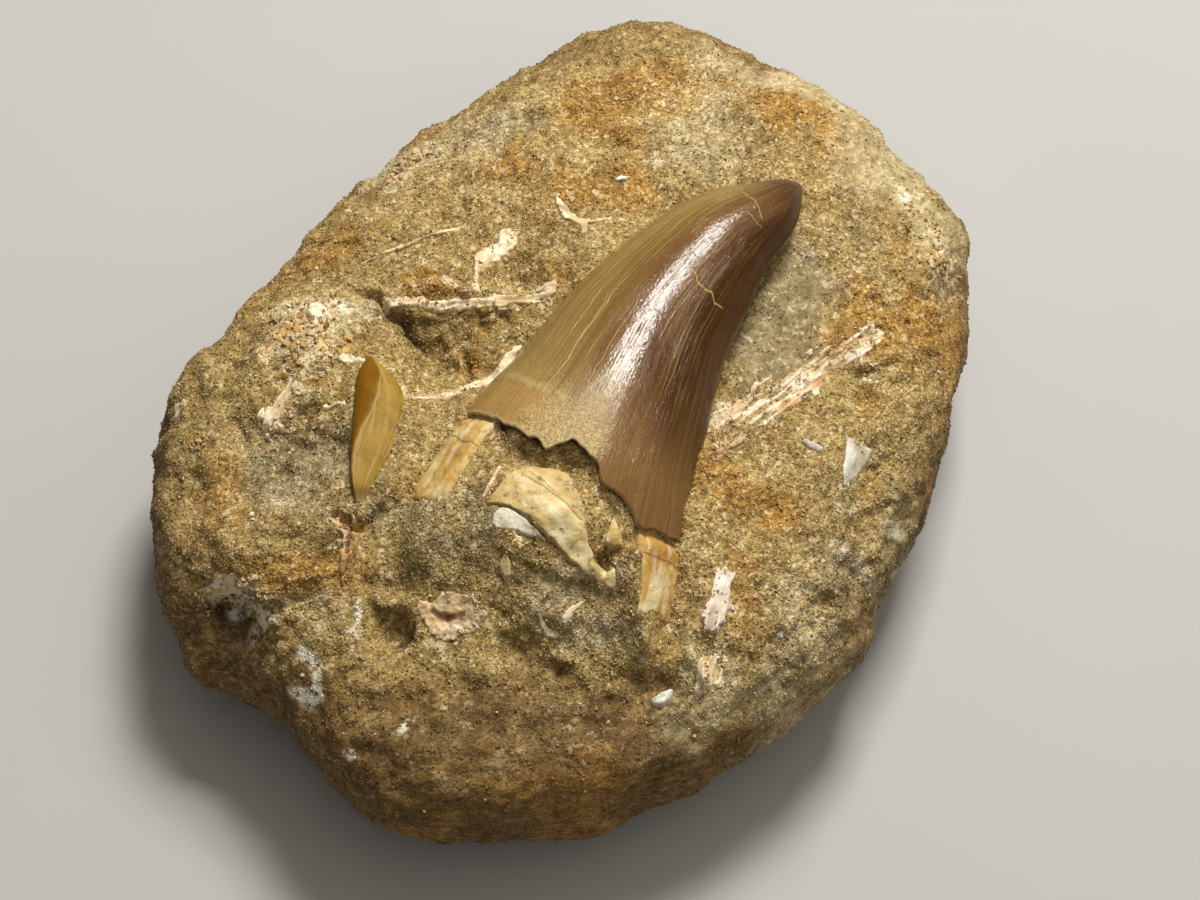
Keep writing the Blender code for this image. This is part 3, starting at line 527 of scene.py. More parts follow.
# ---- Shell crumbs: a line in plan, spread about it, how many, their size, and tone ----
# The tones run from 0, white, by cream at 0.4, to orange at 1.
CRUMBS = (
    (((-21.9, 7.5), (-17.8, 7.7), (-12.8, 7.2), (-8.1, 7.7)), 0.8, 60, 0.22, 0.3),
    (((-6.0, 8.2), (-2.4, 9.0)), 0.5, 60, 0.26, 0.05),
    (((-18.4, 9.8), (-14.0, 9.0), (-11.8, 8.8)), 0.7, 130, 0.26, 0.75),
    (((-21.4, -3.0), (-19.8, -4.0), (-17.3, -5.6), (-15.0, -5.0), (-12.0, -3.8),
      (-10.3, -3.2)), 0.5, 110, 0.24, 0.2),
    (((-12.3, 8.0), (-11.6, 4.4), (-11.4, 2.0), (-11.1, -2.4)), 0.22, 110, 0.20, 0.7),
    (((-35.5, 2.9), (-34.2, 6.4), (-31.0, 8.2), (-27.3, 8.6)), 1.0, 80, 0.50, 0.15),
    (((-33.5, -2.8), (-31.8, 1.7), (-26.5, 2.6)), 1.5, 90, 0.50, 0.3),
    (((-34.4, 3.6), (-28.6, 5.0)), 1.5, 60, 0.5, 0.4),
    (((-29.3, -1.7), (-26.5, 2.6)), 0.9, 130, 0.36, 0.15),
    (((-35.8, -9.0), (-34.2, -8.4), (-32.4, -6.4)), 0.7, 60, 0.28, 0.1),
    (((-11.3, 8.6), (-11.2, 11.6), (-10.6, 14.2), (-7.4, 16.0), (-6.0, 17.6)), 1.0, 80, 0.26, 0.2),
    (((17.4, -12.0), (20.3, -6.6), (24.0, -3.6), (27.5, -1.9), (31.0, 0.7),
      (38.0, 4.4)), 1.4, 170, 0.24, 0.25),
    (((17.6, -13.2), (17.6, -9.4)), 0.7, 120, 0.26, 0.8),
    (((-17.4, -31.4), (-16.2, -34.6), (-12.6, -35.2), (-10.0, -33.4), (-10.2, -31.0)), 0.5, 110, 0.26, 0.2),
    (((18.4, -27.0), (16.8, -33.0), (16.2, -38.0), (15.8, -41.0)), 1.0, 110, 0.24, 0.3),
    (((46.6, 16.9), (45.4, 15.0), (48.2, 14.6)), 1.0, 170, 0.46, 0.2),
    (((42.0, 24.4), (46.4, 19.6), (48.2, 16.0)), 0.8, 100, 0.36, 0.2),
    (((35.0, -2.4), (36.6, -1.2)), 0.8, 80, 0.34, 0.05),
    (((-22.6, 28.4), (-20.3, 30.6), (-18.4, 31.4)), 1.1, 110, 0.40, 0.15),
    (((-43.4, -27.6), (-39.6, -27.2), (-36.8, -28.4), (-34.6, -29.8)), 0.9, 170, 0.42, 0.2),
    (((-45.4, -9.6), (-43.0, -8.8)), 0.8, 60, 0.40, 0.2),
    (((-26.8, -20.2), (-25.0, -23.2), (-24.4, -27.4)), 0.7, 110, 0.26, 0.8),
    (((-8.6, -25.4), (-6.0, -26.0), (-3.2, -27.0), (-0.6, -28.8), (3.2, -31.0)), 0.5, 90, 0.20, 0.15),
    (((5.0, -27.2), (6.4, -28.4), (7.4, -30.4)), 0.6, 80, 0.28, 0.1),
    (((-4.4, 28.6), (-2.6, 25.4), (-0.2, 24.0)), 0.7, 80, 0.28, 0.2),
    (((9.0, -30.4), (10.6, -31.0), (12.6, -30.6)), 0.6, 70, 0.28, 0.1),
    (((26.0, -33.0), (30.4, -30.0)), 1.6, 60, 0.30, 0.1),
    (((2.0, 36.4), (9.0, 39.4)), 2.4, 70, 0.28, 0.2),
    (((-30.0, 24.0), (-8.0, 40.0)), 7.0, 240, 0.22, 0.3),
    (((-38.0, -18.0), (-20.0, -46.0)), 7.0, 260, 0.24, 0.2),
    (((24.0, 34.0), (40.0, 8.0)), 7.0, 190, 0.22, 0.3),
    (((20.0, -38.0), (38.0, -14.0)), 7.0, 300, 0.24, 0.15),
    (((-14.0, -26.0), (12.0, -46.0)), 7.0, 300, 0.24, 0.2),
    (((-30.0, -16.0), (-34.0, 14.0)), 6.0, 300, 0.24, 0.25),
)

# ---- Loose sand on the stone ----
# Each kind: how many grains, how many pieces they are joined into, the smallest and the largest size.
GRAINS = {
    "coarse": (9000, 1, 0.14, 0.28),
    "fine": (72000, 3, 0.09, 0.19),
}
SAND_SEED = 7
CRUMB_SEED = 19

# ---- Camera, floor and lights ----
CAMERA_AIM = (4.0, -11.8, 30.0)
CAMERA_RISE = 64.0  # degrees above the horizon
CAMERA_AWAY = 393.0
LENS = 100.0
SENSOR = 36.0
FLOOR_SIDE = 2400.0
# Lights: the direction they come from, how far away, their side, power and colour.
KEY = ((0.18, 0.50, 0.85), 620.0, 190.0, 5.4, (1.0, 0.965, 0.90))
FILL = ((0.35, -0.05, 0.93), 900.0, 1500.0, 4.6, (1.0, 0.95, 0.87))
STUDIO_COLOUR = (1.0, 0.93, 0.80)
STUDIO_STRENGTH = 0.11


# ---- Sums on many points at once ----
def smoothstep(low, high, value):
    share = np.clip((value - low) / (high - low), 0.0, 1.0)
    return share * share * (3.0 - 2.0 * share)


def cell_number(cells, seed):
    """An even random number from 0 to 1 for each cell of a lattice."""
    x, y, z = (cells[:, axis].astype(np.int64).astype(np.uint32) for axis in range(3))
    mixed = x * np.uint32(0x8DA6B343) ^ y * np.uint32(0xD8163841) ^ z * np.uint32(0xCB1AB31F)
    mixed = mixed ^ np.uint32(seed * 0x9E3779B1 % 2**32)
    mixed = (mixed ^ (mixed >> np.uint32(15))) * np.uint32(0x2C1B3C6D)
    mixed = (mixed ^ (mixed >> np.uint32(12))) * np.uint32(0x297A2D39)
    return ((mixed ^ (mixed >> np.uint32(15))) & np.uint32(0xFFFFFF)) / 0xFFFFFF


def soft_noise(points, size, seed=0):
    """Smooth noise from 0 to 1 with features about size across."""
    scaled = np.asarray(points) / size
    cells = np.floor(scaled)
    part = scaled - cells
    part = part * part * (3.0 - 2.0 * part)
    total = np.zeros(len(scaled))
    for corner in itertools.product((0, 1), repeat=3):
        weights = np.where(np.array(corner, bool), part, 1.0 - part)
        total += weights.prod(axis=1) * cell_number(cells + corner, seed)
    return total


def rough_noise(points, size, octaves=3, seed=0):
    """Noise from about -1 to 1, with finer noise added at each octave."""
    total = np.zeros(len(points))
    for octave in range(octaves):
        total += 0.5**octave * (2.0 * soft_noise(points, size * 0.5**octave, seed + 31 * octave) - 1.0)
    return total


def pebble_noise(points, size, seed=0):
    """Rounded lumps about size across: 1 at the middle of each and 0 between them."""
    scaled = np.asarray(points) / size
    cells = np.floor(scaled)
    nearest = np.full(len(scaled), 9.0)
    for step in itertools.product((-1, 0, 1), repeat=3):
        neighbour = cells + step
        centre = neighbour + np.stack([cell_number(neighbour, seed + axis) for axis in range(3)], axis=1)
        nearest = np.minimum(nearest, ((centre - scaled) ** 2).sum(axis=1))
    return np.clip(1.0 - nearest, 0.0, 1.0)


def between(before, start, end, after, t):
    """Points t of the way from start to end on the smooth curve through all four."""
    bend = 2 * before - 5 * start + 4 * end - after
    turn = 3 * start - before - 3 * end + after
    return 0.5 * (2 * start + (end - before) * t + bend * t * t + turn * t**3)


def along_stations(stations, shares):
    """The numbers of a table of stations at shares of the way along it, one row each."""
    table = np.array(stations)
    last = len(table) - 1
    places = np.clip(shares, 0.0, 1.0) * last
    first = np.minimum(places.astype(int), last - 1)
    around = [table[np.clip(first + step, 0, last)] for step in (-1, 0, 1, 2)]
    return between(*around, (places - first)[:, None])


def inside(outline, x, y):
    """True where points lie within a closed outline in plan."""
    odd = np.zeros(len(x), bool)
    for (x1, y1), (x2, y2) in zip(outline, outline[1:] + outline[:1]):
        if y1 != y2:
            odd ^= ((y1 > y) != (y2 > y)) & (x < x1 + (x2 - x1) * (y - y1) / (y2 - y1))
    return odd


def beside_line(points, line):
    """Each point's distance from a line in plan, positive to the left, and a taper to 0 at its ends."""
    nearest = np.full(len(points), np.inf)
    signed = np.zeros(len(points))
    share = np.zeros(len(points))
    steps = len(line) - 1
    for place, ((x1, y1), (x2, y2)) in enumerate(zip(line, line[1:])):
        across, up = x2 - x1, y2 - y1
        t = ((points[:, 0] - x1) * across + (points[:, 1] - y1) * up) / (across**2 + up**2)
        t = np.clip(t, 0.0, 1.0)
        off_x, off_y = points[:, 0] - x1 - t * across, points[:, 1] - y1 - t * up
        away = np.hypot(off_x, off_y)
        closer = away < nearest
        nearest = np.where(closer, away, nearest)
        signed = np.where(closer, np.where(across * off_y - up * off_x < 0, -away, away), signed)
        share = np.where(closer, (place + t) / steps, share)
    return signed, smoothstep(0.0, 0.25, share) * smoothstep(1.0, 0.75, share)


def in_patch(points, patch):
    """Squared distance from the middle of an ellipse in plan, 1 at its edge."""
    x, y, half_length, half_width, turn = patch[:5]
    angle = math.radians(turn)
    along = (points[:, 0] - x) * math.cos(angle) + (points[:, 1] - y) * math.sin(angle)
    across = (points[:, 1] - y) * math.cos(angle) - (points[:, 0] - x) * math.sin(angle)
    return (along / half_length) ** 2 + (across / half_width) ** 2


# ---- Mesh helpers ----
def points_of(obj):
    """The object's vertices in millimetres, one row each."""
    numbers = np.empty(len(obj.data.vertices) * 3, np.float32)
    obj.data.vertices.foreach_get("co", numbers)
    return numbers.reshape(-1, 3).astype(float) / MM


def normals_of(obj):
    numbers = np.empty(len(obj.data.vertices) * 3, np.float32)
    obj.data.vertices.foreach_get("normal", numbers)
    return numbers.reshape(-1, 3).astype(float)


def place_points(obj, points):
    obj.data.vertices.foreach_set("co", (np.asarray(points) * MM).astype(np.float32).ravel())
    obj.data.update()


def keep_number(obj, name, values):
    """Stores a number for each vertex, which the material reads."""
    attribute = obj.data.attributes.new(name, "FLOAT", "POINT")
    attribute.data.foreach_set("value", np.asarray(values, np.float32))


def only(obj):
    """Deselects everything, then selects and activates obj."""
    bpy.ops.object.select_all(action="DESELECT")
    obj.select_set(True)
    bpy.context.view_layer.objects.active = obj


def sheet_of_squares(name, across, along):
    """A flat grid from (-1, -1) to (1, 1), to be bent into shape."""
    bpy.ops.object.select_all(action="DESELECT")
    bpy.ops.mesh.primitive_grid_add(x_subdivisions=across, y_subdivisions=along, size=2.0)
    made = bpy.context.object
    made.name = made.data.name = name
    return made


def grid_places(obj):
    """Where each vertex of a fresh grid lies, from 0 to 1 across and along."""
    numbers = points_of(obj) * MM
    return (numbers[:, 0] + 1.0) / 2.0, (numbers[:, 1] + 1.0) / 2.0


def merge_and_face_out(obj, within=0.002):
    """Joins vertices that meet and turns the faces outwards."""
    only(obj)
    bpy.ops.object.mode_set(mode="EDIT")
    bpy.ops.mesh.select_all(action="SELECT")
    bpy.ops.mesh.remove_doubles(threshold=within * MM)
    bpy.ops.mesh.normals_make_consistent(inside=False)
    bpy.ops.object.mode_set(mode="OBJECT")


def fill_openings(obj):
    """Closes every open edge loop with a face."""
    only(obj)
    bpy.ops.object.mode_set(mode="EDIT")
    bpy.ops.mesh.select_all(action="DESELECT")
    bpy.ops.mesh.select_non_manifold()
    bpy.ops.mesh.edge_face_add()
    bpy.ops.object.mode_set(mode="OBJECT")


def remove_vertices(obj, unwanted):
    """Deletes the vertices that are marked True."""
    only(obj)
    bpy.ops.object.mode_set(mode="EDIT")
    bpy.ops.mesh.select_mode(type="VERT")
    bpy.ops.mesh.select_all(action="DESELECT")
    bpy.ops.object.mode_set(mode="OBJECT")
    obj.data.vertices.foreach_set("select", unwanted)
    bpy.ops.object.mode_set(mode="EDIT")
    bpy.ops.mesh.delete(type="VERT")
    bpy.ops.object.mode_set(mode="OBJECT")


def apply_modifier(obj, kind, **settings):
    """Adds a modifier with these settings and applies it."""
    only(obj)
    modifier = obj.modifiers.new(kind, kind)
    for name, value in settings.items():
        setattr(modifier, name, value)
    bpy.ops.object.modifier_apply(modifier=modifier.name)


def dress(obj, material, slot, *nodes, smooth=True):
    """Gives a finished piece its material and smooth shading, hangs it under the root body and hides the
    solids it stands for; slot is not used.
    """
    obj.data.materials.clear()
    obj.data.materials.append(material)
    obj.data.polygons.foreach_set("use_smooth", np.full(len(obj.data.polygons), smooth))
    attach(obj, "root")
    if nodes:
        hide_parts(*nodes)


# ---- Looking down on finished pieces ----
ABOVE = 90.0
DOWN = Vector((0.0, 0.0, -1.0))


def tree_of(*pieces):
    """One search tree, in millimetres, of several pieces."""
    corners, faces = [], []
    for piece in pieces:
        first = len(corners)
        corners.extend(points_of(piece).tolist())
        faces.extend([first + index for index in polygon.vertices] for polygon in piece.data.polygons)
    return BVHTree.FromPolygons(corners, faces)


def top_at(tree, points, nothing):
    """Height of the tree's highest face at each point in plan, or nothing where it has none."""
    tops = np.full(len(points), nothing)
    for place, point in enumerate(points.tolist()):
        hit = tree.ray_cast(Vector((point[0], point[1], ABOVE)), DOWN)[0]
        if hit:
            tops[place] = hit.z
    return tops


def distance_from(tree, points, farthest=4.0):
    """Distance of each point to the tree's nearest face, up to the farthest one looked for."""
    away = np.full(len(points), farthest)
    for place, point in enumerate(points.tolist()):
        distance = tree.find_nearest(Vector(point), farthest)[3]
        if distance is not None:
            away[place] = distance
    return away


# ---- The stone ----
def outline_radius(around):
    """Distance from the axis to the widest level, at angles round it in radians."""
    table = np.array(OUTLINE)
    places = (around / math.tau) % 1.0 * len(table)
    first = places.astype(int)
    near = [table[(first + step) % len(table)] for step in (-1, 0, 1, 2)]
    return between(*near, places - first)


def fractal(points, scale, offset):
    """The same noise as the solid's, at points in millimetres."""
    shifted = (points - BLOCK_AXIS) * scale + offset
    return np.array([noise.fractal(Vector(point), 1.0, 2.0, 3) for point in shifted.tolist()])


def block_points(directions):
    """Where the block's general surface lies in the directions of unit vectors."""
    up = directions[:, 2]
    flat = np.hypot(directions[:, 0], directions[:, 1])
    square = np.where(up > 0, SHOULDER, BELLY)
    reach = (flat**square + np.abs(up) ** square) ** (-1.0 / square)
    radius = outline_radius(np.arctan2(directions[:, 1], directions[:, 0])) * reach
    rise = np.where(up > 0, CROWN_RISE, BELLY_DROP)
    points = np.stack(
        (directions[:, 0] * radius, directions[:, 1] * radius, EQUATOR + rise * up * reach), axis=1
    ) + BLOCK_AXIS
    relief = sum(patch[5] * np.exp(-in_patch(points, patch)) for patch in RELIEF)
    points[:, 2] += relief * smoothstep(0.1, 0.9, up * reach)
    for x, y, z, size, height in SIDES:
        away = np.linalg.norm(points - (x, y, z), axis=1) / size
        points += directions * (height * np.exp(-away * away))[:, None]
    lumps = fractal(points, 0.055, (7.0, 3.0, 1.0))
    chips = fractal(points, 0.17, (2.0, 9.0, 4.0))
    return points + directions * (LUMPS * lumps + CHIPS * chips)[:, None]


def wrap_directions(across, along):
    """Directions for places on a square sheet: its middle points up, its border down and outwards."""
    u, v = 2.0 * across - 1.0, 2.0 * along - 1.0
    ring = np.maximum(np.abs(u), np.abs(v))
    safe_u = np.where(np.abs(u) < 1e-9, 1e-9, u)
    safe_v = np.where(np.abs(v) < 1e-9, 1e-9, v)
    eighth = math.pi / 4.0
    sideways = np.abs(u) >= np.abs(v)
    around = np.where(
        sideways,
        eighth * v / safe_u + np.where(u < 0, math.pi, 0.0),
        2.0 * eighth - eighth * u / safe_v + np.where(v < 0, math.pi, 0.0),
    )
    lean = np.radians(np.linspace(0.0, LOWEST_WRAP, 400))
    square = np.where(np.cos(lean) > 0, SHOULDER, BELLY)
    reach = (np.sin(lean) ** square + np.abs(np.cos(lean)) ** square) ** (-1.0 / square)
    profile_x = WRAP_RADIUS * np.sin(lean) * reach
    profile_z = np.where(np.cos(lean) > 0, CROWN_RISE, BELLY_DROP) * np.cos(lean) * reach
    travelled = np.concatenate(([0.0], np.cumsum(np.hypot(np.diff(profile_x), np.diff(profile_z)))))
    equator = np.interp(math.pi / 2.0, lean, travelled)
    distance = np.interp(ring, (0.0, SKIN_TOP_SHARE, 1.0), (0.0, equator, travelled[-1]))
    tilt = np.interp(distance, travelled, lean)
    return np.stack((np.sin(tilt) * np.cos(around), np.sin(tilt) * np.sin(around), np.cos(tilt)), axis=1)


def stains_at(points):
    """How strongly each stain shows at points, from 0 to 1, and how worn the stone is; the wall share is
    partly painted shade.
    """
    wander = np.stack([rough_noise(points, 5.0, 3, 40 + axis) for axis in range(3)], axis=1)
    moved = points + 2.2 * wander
    found = {}
    for order, (stain, patches) in enumerate(STAINS.items()):
        total = sum(patch[5] * np.exp(-0.9 * in_patch(moved, patch)) for patch in patches)
        ragged = rough_noise(points, 2.4, 3, 60 + 5 * order)
        background = np.maximum(rough_noise(points, 9.0, 2, 80 + 5 * order) - 0.35, 0.0)
        share = STAINED_AT_RANDOM.get(stain, 0.0)
        found[stain] = smoothstep(0.18, 0.85, total + share * background + 0.30 * ragged * (total + 0.15))
    # The wall share darkens the block low down, and higher up at the front: partly the side wall's own
    # darker brown, partly painted shade where these slopes face away from the light.
    front_shade = smoothstep(-34.0, -43.0, points[:, 1])
    wall = smoothstep(27.0, 18.0, points[:, 2] - 4.0 * front_shade + 2.0 * rough_noise(points, 6.0, 2, 97))
    found["wall"] = wall * (1.0 - 0.75 * found["pale"])
    found["worn"] = np.maximum(found["worn"], 0.75 * wall)
    return found


def ground_steps(points):
    """Height of the broken steps, cuts and pits of the top."""
    wander = np.stack([rough_noise(points, 2.6, 2, 20 + axis) for axis in range(3)], axis=1)
    moved = points + 0.8 * wander
    height = np.zeros(len(points))
    for line, drop, run in SCARPS:
        signed, taper = beside_line(moved, line)
        low = np.where(signed < 0, np.exp(signed / run), 1.0 - smoothstep(0.0, 0.5, signed))
        lip = 0.22 * np.exp(-np.abs(signed) / 0.9)
        height += taper * drop * (lip - low)
    for line, depth, width in CUTS:
        signed, taper = beside_line(moved, line)
        height -= depth * taper * np.exp(-((signed / width) ** 2))
    for x, y, radius, depth in PITS:
        away = np.hypot(moved[:, 0] - x, moved[:, 1] - y) / radius
        height -= depth * np.exp(-(away**4))
    return height


def ground_grain(points, crumbly):
    """Height of the unevenness of the broken sandy skin."""
    rougher = crumbly * (0.55 + 0.75 * smoothstep(0.4, 0.6, soft_noise(points, 12.0, 30)))
    broken = np.abs(rough_noise(points, 5.0, 3, 3))
    height = 0.5 * (0.35 - broken) * (0.45 + 0.55 * crumbly)
    craggy = np.abs(rough_noise(points, 2.6, 3, 9))
    height += 0.34 * (0.30 - craggy) * rougher
    height += 0.30 * rough_noise(points, 1.2, 2, 12) * rougher
    height += 0.30 * (pebble_noise(points, 1.7, 13) - 0.5) * rougher * soft_noise(points, 8.0, 14)
    height += 0.24 * (pebble_noise(points, 0.9, 17) - 0.5) * crumbly
    return height


def level_with(points, line, reach):
    """Moves the ground beside a line in space to the line's own height."""
    away = np.hypot(points[:, None, 0] - line[:, 0], points[:, None, 1] - line[:, 1])
    share = np.exp(-((away.min(axis=1) / reach) ** 2)) * (points[:, 2] > EQUATOR)
    points[:, 2] += share * (line[away.argmin(axis=1), 2] - points[:, 2])


def wrap_stone():
    """A sheet wrapped round the nodule's general form, open below the base plane."""
    stone = sheet_of_squares("matrix_stone_block", SKIN_SQUARES, SKIN_SQUARES)
    place_points(stone, block_points(wrap_directions(*grid_places(stone))))
    return stone


def bed_in(points):
    """Levels the ground with the tooth's sides, and under its broken edge."""
    for low_turn, high_turn, first, last in BEDDED:
        turns = np.radians(np.linspace(low_turn, high_turn, 40))
        level_with(points, horn_points(np.linspace(first, last, 40), turns), BED_REACH)
    turns = np.radians(np.linspace(*NOTCH_TURNS, 90))
    level_with(points, horn_points(break_shares(turns), turns) - (0.0, 0.0, NOTCH_DROP), NOTCH_REACH)


def keep_under(points, fossils, slabs):
    """Lowers the ground where it would come up through a fossil."""
    tops = top_at(fossils, points, ABOVE)
    over = points[:, 2] - tops
    hidden = smoothstep(0.75, 0.3, over) * (over > -0.3) * (tops < ABOVE - 1.0)
    points[:, 2] = np.where(hidden > 0, points[:, 2] - hidden * (over + 0.3), points[:, 2])
    roof = np.where(slabs.covers(points), slabs.tops(points) - SLAB_CLEARANCE, ABOVE)
    points[:, 2] = np.minimum(points[:, 2], roof)


def cut_flat(stone):
    """Cuts the sheet off at the base plane and closes it there."""
    only(stone)
    bpy.ops.object.mode_set(mode="EDIT")
    bpy.ops.mesh.select_all(action="SELECT")
    bpy.ops.mesh.bisect(plane_co=(0, 0, 0), plane_no=(0, 0, -1), use_fill=True, clear_outer=True)
    bpy.ops.mesh.select_all(action="SELECT")
    bpy.ops.mesh.normals_make_consistent(inside=False)
    bpy.ops.object.mode_set(mode="OBJECT")


def break_up_stone(stone, fossils, slabs):
    """Breaks up the wrapped sheet, fits it to the fossils and cuts it flat where it rests."""
    points, normals = points_of(stone), normals_of(stone)
    facing_up = smoothstep(0.25, 0.6, normals[:, 2])
    stains = stains_at(points)
    crumbly = 1.0 - 0.8 * stains["worn"]
    away = distance_from(fossils, points)
    held_back = 0.35 + 0.65 * smoothstep(0.2, 2.0, away)
    banked = 0.3 * np.exp(-((away / 0.9) ** 2)) * facing_up
    points += normals * (ground_steps(points) * facing_up + banked)[:, None]
    bed_in(points)
    shelly = stains["hash"] * (0.5 * pebble_noise(points, 2.6, 21) + 0.25 * rough_noise(points, 1.2, 3, 22))
    points += normals * (ground_grain(points, crumbly) * held_back + shelly)[:, None]
    keep_under(points, fossils, slabs)
    place_points(stone, points)
    cut_flat(stone)
    for name, values in stains_at(points_of(stone)).items():
        keep_number(stone, name, values)


# ---- Flat fossils ----
class Slabs:
    """The flat fossils' form as heights over the stone's general surface."""

    def __init__(self, general):
        self.general = tree_of(general)

    def level(self, points):
        """Height of the stone's general surface with its steps, at points in plan."""
        flat = points.copy()
        flat[:, 2] = top_at(self.general, points, 0.0)
        return flat[:, 2] + ground_steps(flat)

    def rise(self, name, points):
        """How far one slab stands over the level at points, and how far in from its edge they are."""
        outline, height, edge, ragged, uneven, _ = FLAT_FOSSILS[name]
        signed = beside_line(points, outline + outline[:1])[0]
        within = inside(outline, points[:, 0], points[:, 1])
        signed = np.where(within, np.abs(signed), -np.abs(signed))
        flat = points * (1.0, 1.0, 0.0)
        seed = 300 + 7 * list(FLAT_FOSSILS).index(name)
        signed = signed + ragged * rough_noise(flat, 1.1, 4, seed)
        rough = uneven * rough_noise(flat, 0.9, 4, seed + 3)
        if name in FIBROUS:
            rough = 2.6 * uneven * (self.fibres(name, points) - 0.5)
            signed = signed + 1.4 * rough
        profile = smoothstep(-0.12, edge, signed)
        for line, depth, width in SLAB_CRACKS.get(name, ()):
            away, taper = beside_line(flat + 0.06 * rough_noise(flat, 0.8, 2, 5)[:, None], line)
            rough -= depth * smoothstep(width, 0.3 * width, np.abs(away)) * np.minimum(4.0 * taper, 1.0)
        return (height + SLAB_DEPTH + rough) * profile - SLAB_DEPTH, signed

    def fibres(self, name, points):
        """Fine streaks along the length of one slab, from 0 to 1."""
        outline = np.array(FLAT_FOSSILS[name][0])
        centred = outline - outline.mean(axis=0)
        length_way = np.linalg.svd(centred)[2][0]
        plan = points[:, :2] @ np.array((length_way, (-length_way[1], length_way[0]))).T
        stretched = np.column_stack((plan[:, 0] * 0.16, plan[:, 1], np.zeros(len(plan))))
        return np.clip(0.5 + 0.5 * rough_noise(stretched, 0.55, 3, 77), 0.0, 1.0)

    def cracked(self, name, points):
        """1 in the middle of a slab's placed cracks."""
        flat = points * (1.0, 1.0, 0.0)
        dark = np.zeros(len(points))
        for line, _, width in SLAB_CRACKS.get(name, ()):
            away, taper = beside_line(flat + 0.06 * rough_noise(flat, 0.8, 2, 5)[:, None], line)
            crack = smoothstep(width, 0.4 * width, np.abs(away)) * np.minimum(4.0 * taper, 1.0)
            dark = np.maximum(dark, crack)
        return dark

    def stained(self, name, points):
        """How darkly one slab is stained at points, from 0 to 1."""
        patches = SLAB_STAINS.get(name, ())
        total = sum(patch[5] * np.exp(-0.9 * in_patch(points, patch)) for patch in patches)
        return np.clip(total + np.zeros(len(points)), 0.0, 1.0)

    def near(self, name, points, margin):
        """True where points are within a margin of one slab's outline box."""
        outline = np.array(FLAT_FOSSILS[name][0])
        low, high = outline.min(axis=0) - margin, outline.max(axis=0) + margin
        return ((points[:, :2] > low) & (points[:, :2] < high)).all(axis=1)

    def highest(self, points):
        """How far the highest slab at points stands over the level, or -9 where there is none."""
        best = np.full(len(points), -9.0)
        for name in FLAT_FOSSILS:
            close = self.near(name, points, 1.0)
            if close.any():
                best[close] = np.maximum(best[close], self.rise(name, points[close])[0])
        return best

    def covers(self, points):
        """True where a slab lies at points, on the top of the block."""
        return (self.highest(points) > -0.1) & (points[:, 2] > SLAB_LEVEL)

    def tops(self, points):
        """Height of the highest slab at points, where there is one."""
        rises = self.highest(points)
        tops = np.full(len(points), -ABOVE)
        close = rises > -8.0
        tops[close] = self.level(points[close]) + rises[close]
        return tops

    def make(self, name):
        """One flat fossil as a thick sheet whose edges go down into the stone."""
        spacing = FLAT_FOSSILS[name][-1]
        outline = np.array(FLAT_FOSSILS[name][0])
        low, high = outline.min(axis=0) - 0.9, outline.max(axis=0) + 0.9
        across, along = (int(size / spacing) for size in high - low)
        slab = sheet_of_squares(name + "_piece", across, along)
        share_x, share_y = grid_places(slab)
        x = low[0] + share_x * (high[0] - low[0])
        y = low[1] + share_y * (high[1] - low[1])
        points = np.column_stack((x, y, np.zeros(len(x))))
        rises, signed = self.rise(name, points)
        points[:, 2] = self.level(points) + rises
        place_points(slab, points)
        keep_number(slab, "inward", signed)
        keep_number(slab, "fibre", self.fibres(name, points))
        keep_number(slab, "cracked", self.cracked(name, points))
        keep_number(slab, "stained", self.stained(name, points))
        remove_vertices(slab, (signed < -SLAB_SKIRT) | (points[:, 2] < SLAB_FOOT))
        apply_modifier(slab, "SOLIDIFY", thickness=SLAB_THICKNESS * MM, offset=-1.0)
        return slab


# ---- Sand ----
def grain_shape(kind):
    """Corners and faces of a small rounded primitive of radius 1."""
    bpy.ops.object.select_all(action="DESELECT")
    if kind == "coarse":
        bpy.ops.mesh.primitive_ico_sphere_add(subdivisions=1, radius=1.0)
    else:
        bpy.ops.mesh.primitive_uv_sphere_add(segments=4, ring_count=2, radius=1.0)
    made = bpy.context.object
    corners = points_of(made) * MM
    made.data.calc_loop_triangles()
    faces = np.array([triangle.vertices[:] for triangle in made.data.loop_triangles])
    bpy.data.objects.remove(made)
    return corners, faces


def random_turns(draw, count):
    """Rotation matrices spread evenly over every direction."""
    numbers = draw.normal(size=(count, 4))
    numbers /= np.linalg.norm(numbers, axis=1)[:, None]
    w, x, y, z = numbers.T
    rows = (
        (1 - 2 * (y * y + z * z), 2 * (x * y - w * z), 2 * (x * z + w * y)),
        (2 * (x * y + w * z), 1 - 2 * (x * x + z * z), 2 * (y * z - w * x)),
        (2 * (x * z - w * y), 2 * (y * z + w * x), 1 - 2 * (x * x + y * y)),
    )
    return np.stack([np.stack(row, axis=1) for row in rows], axis=1)


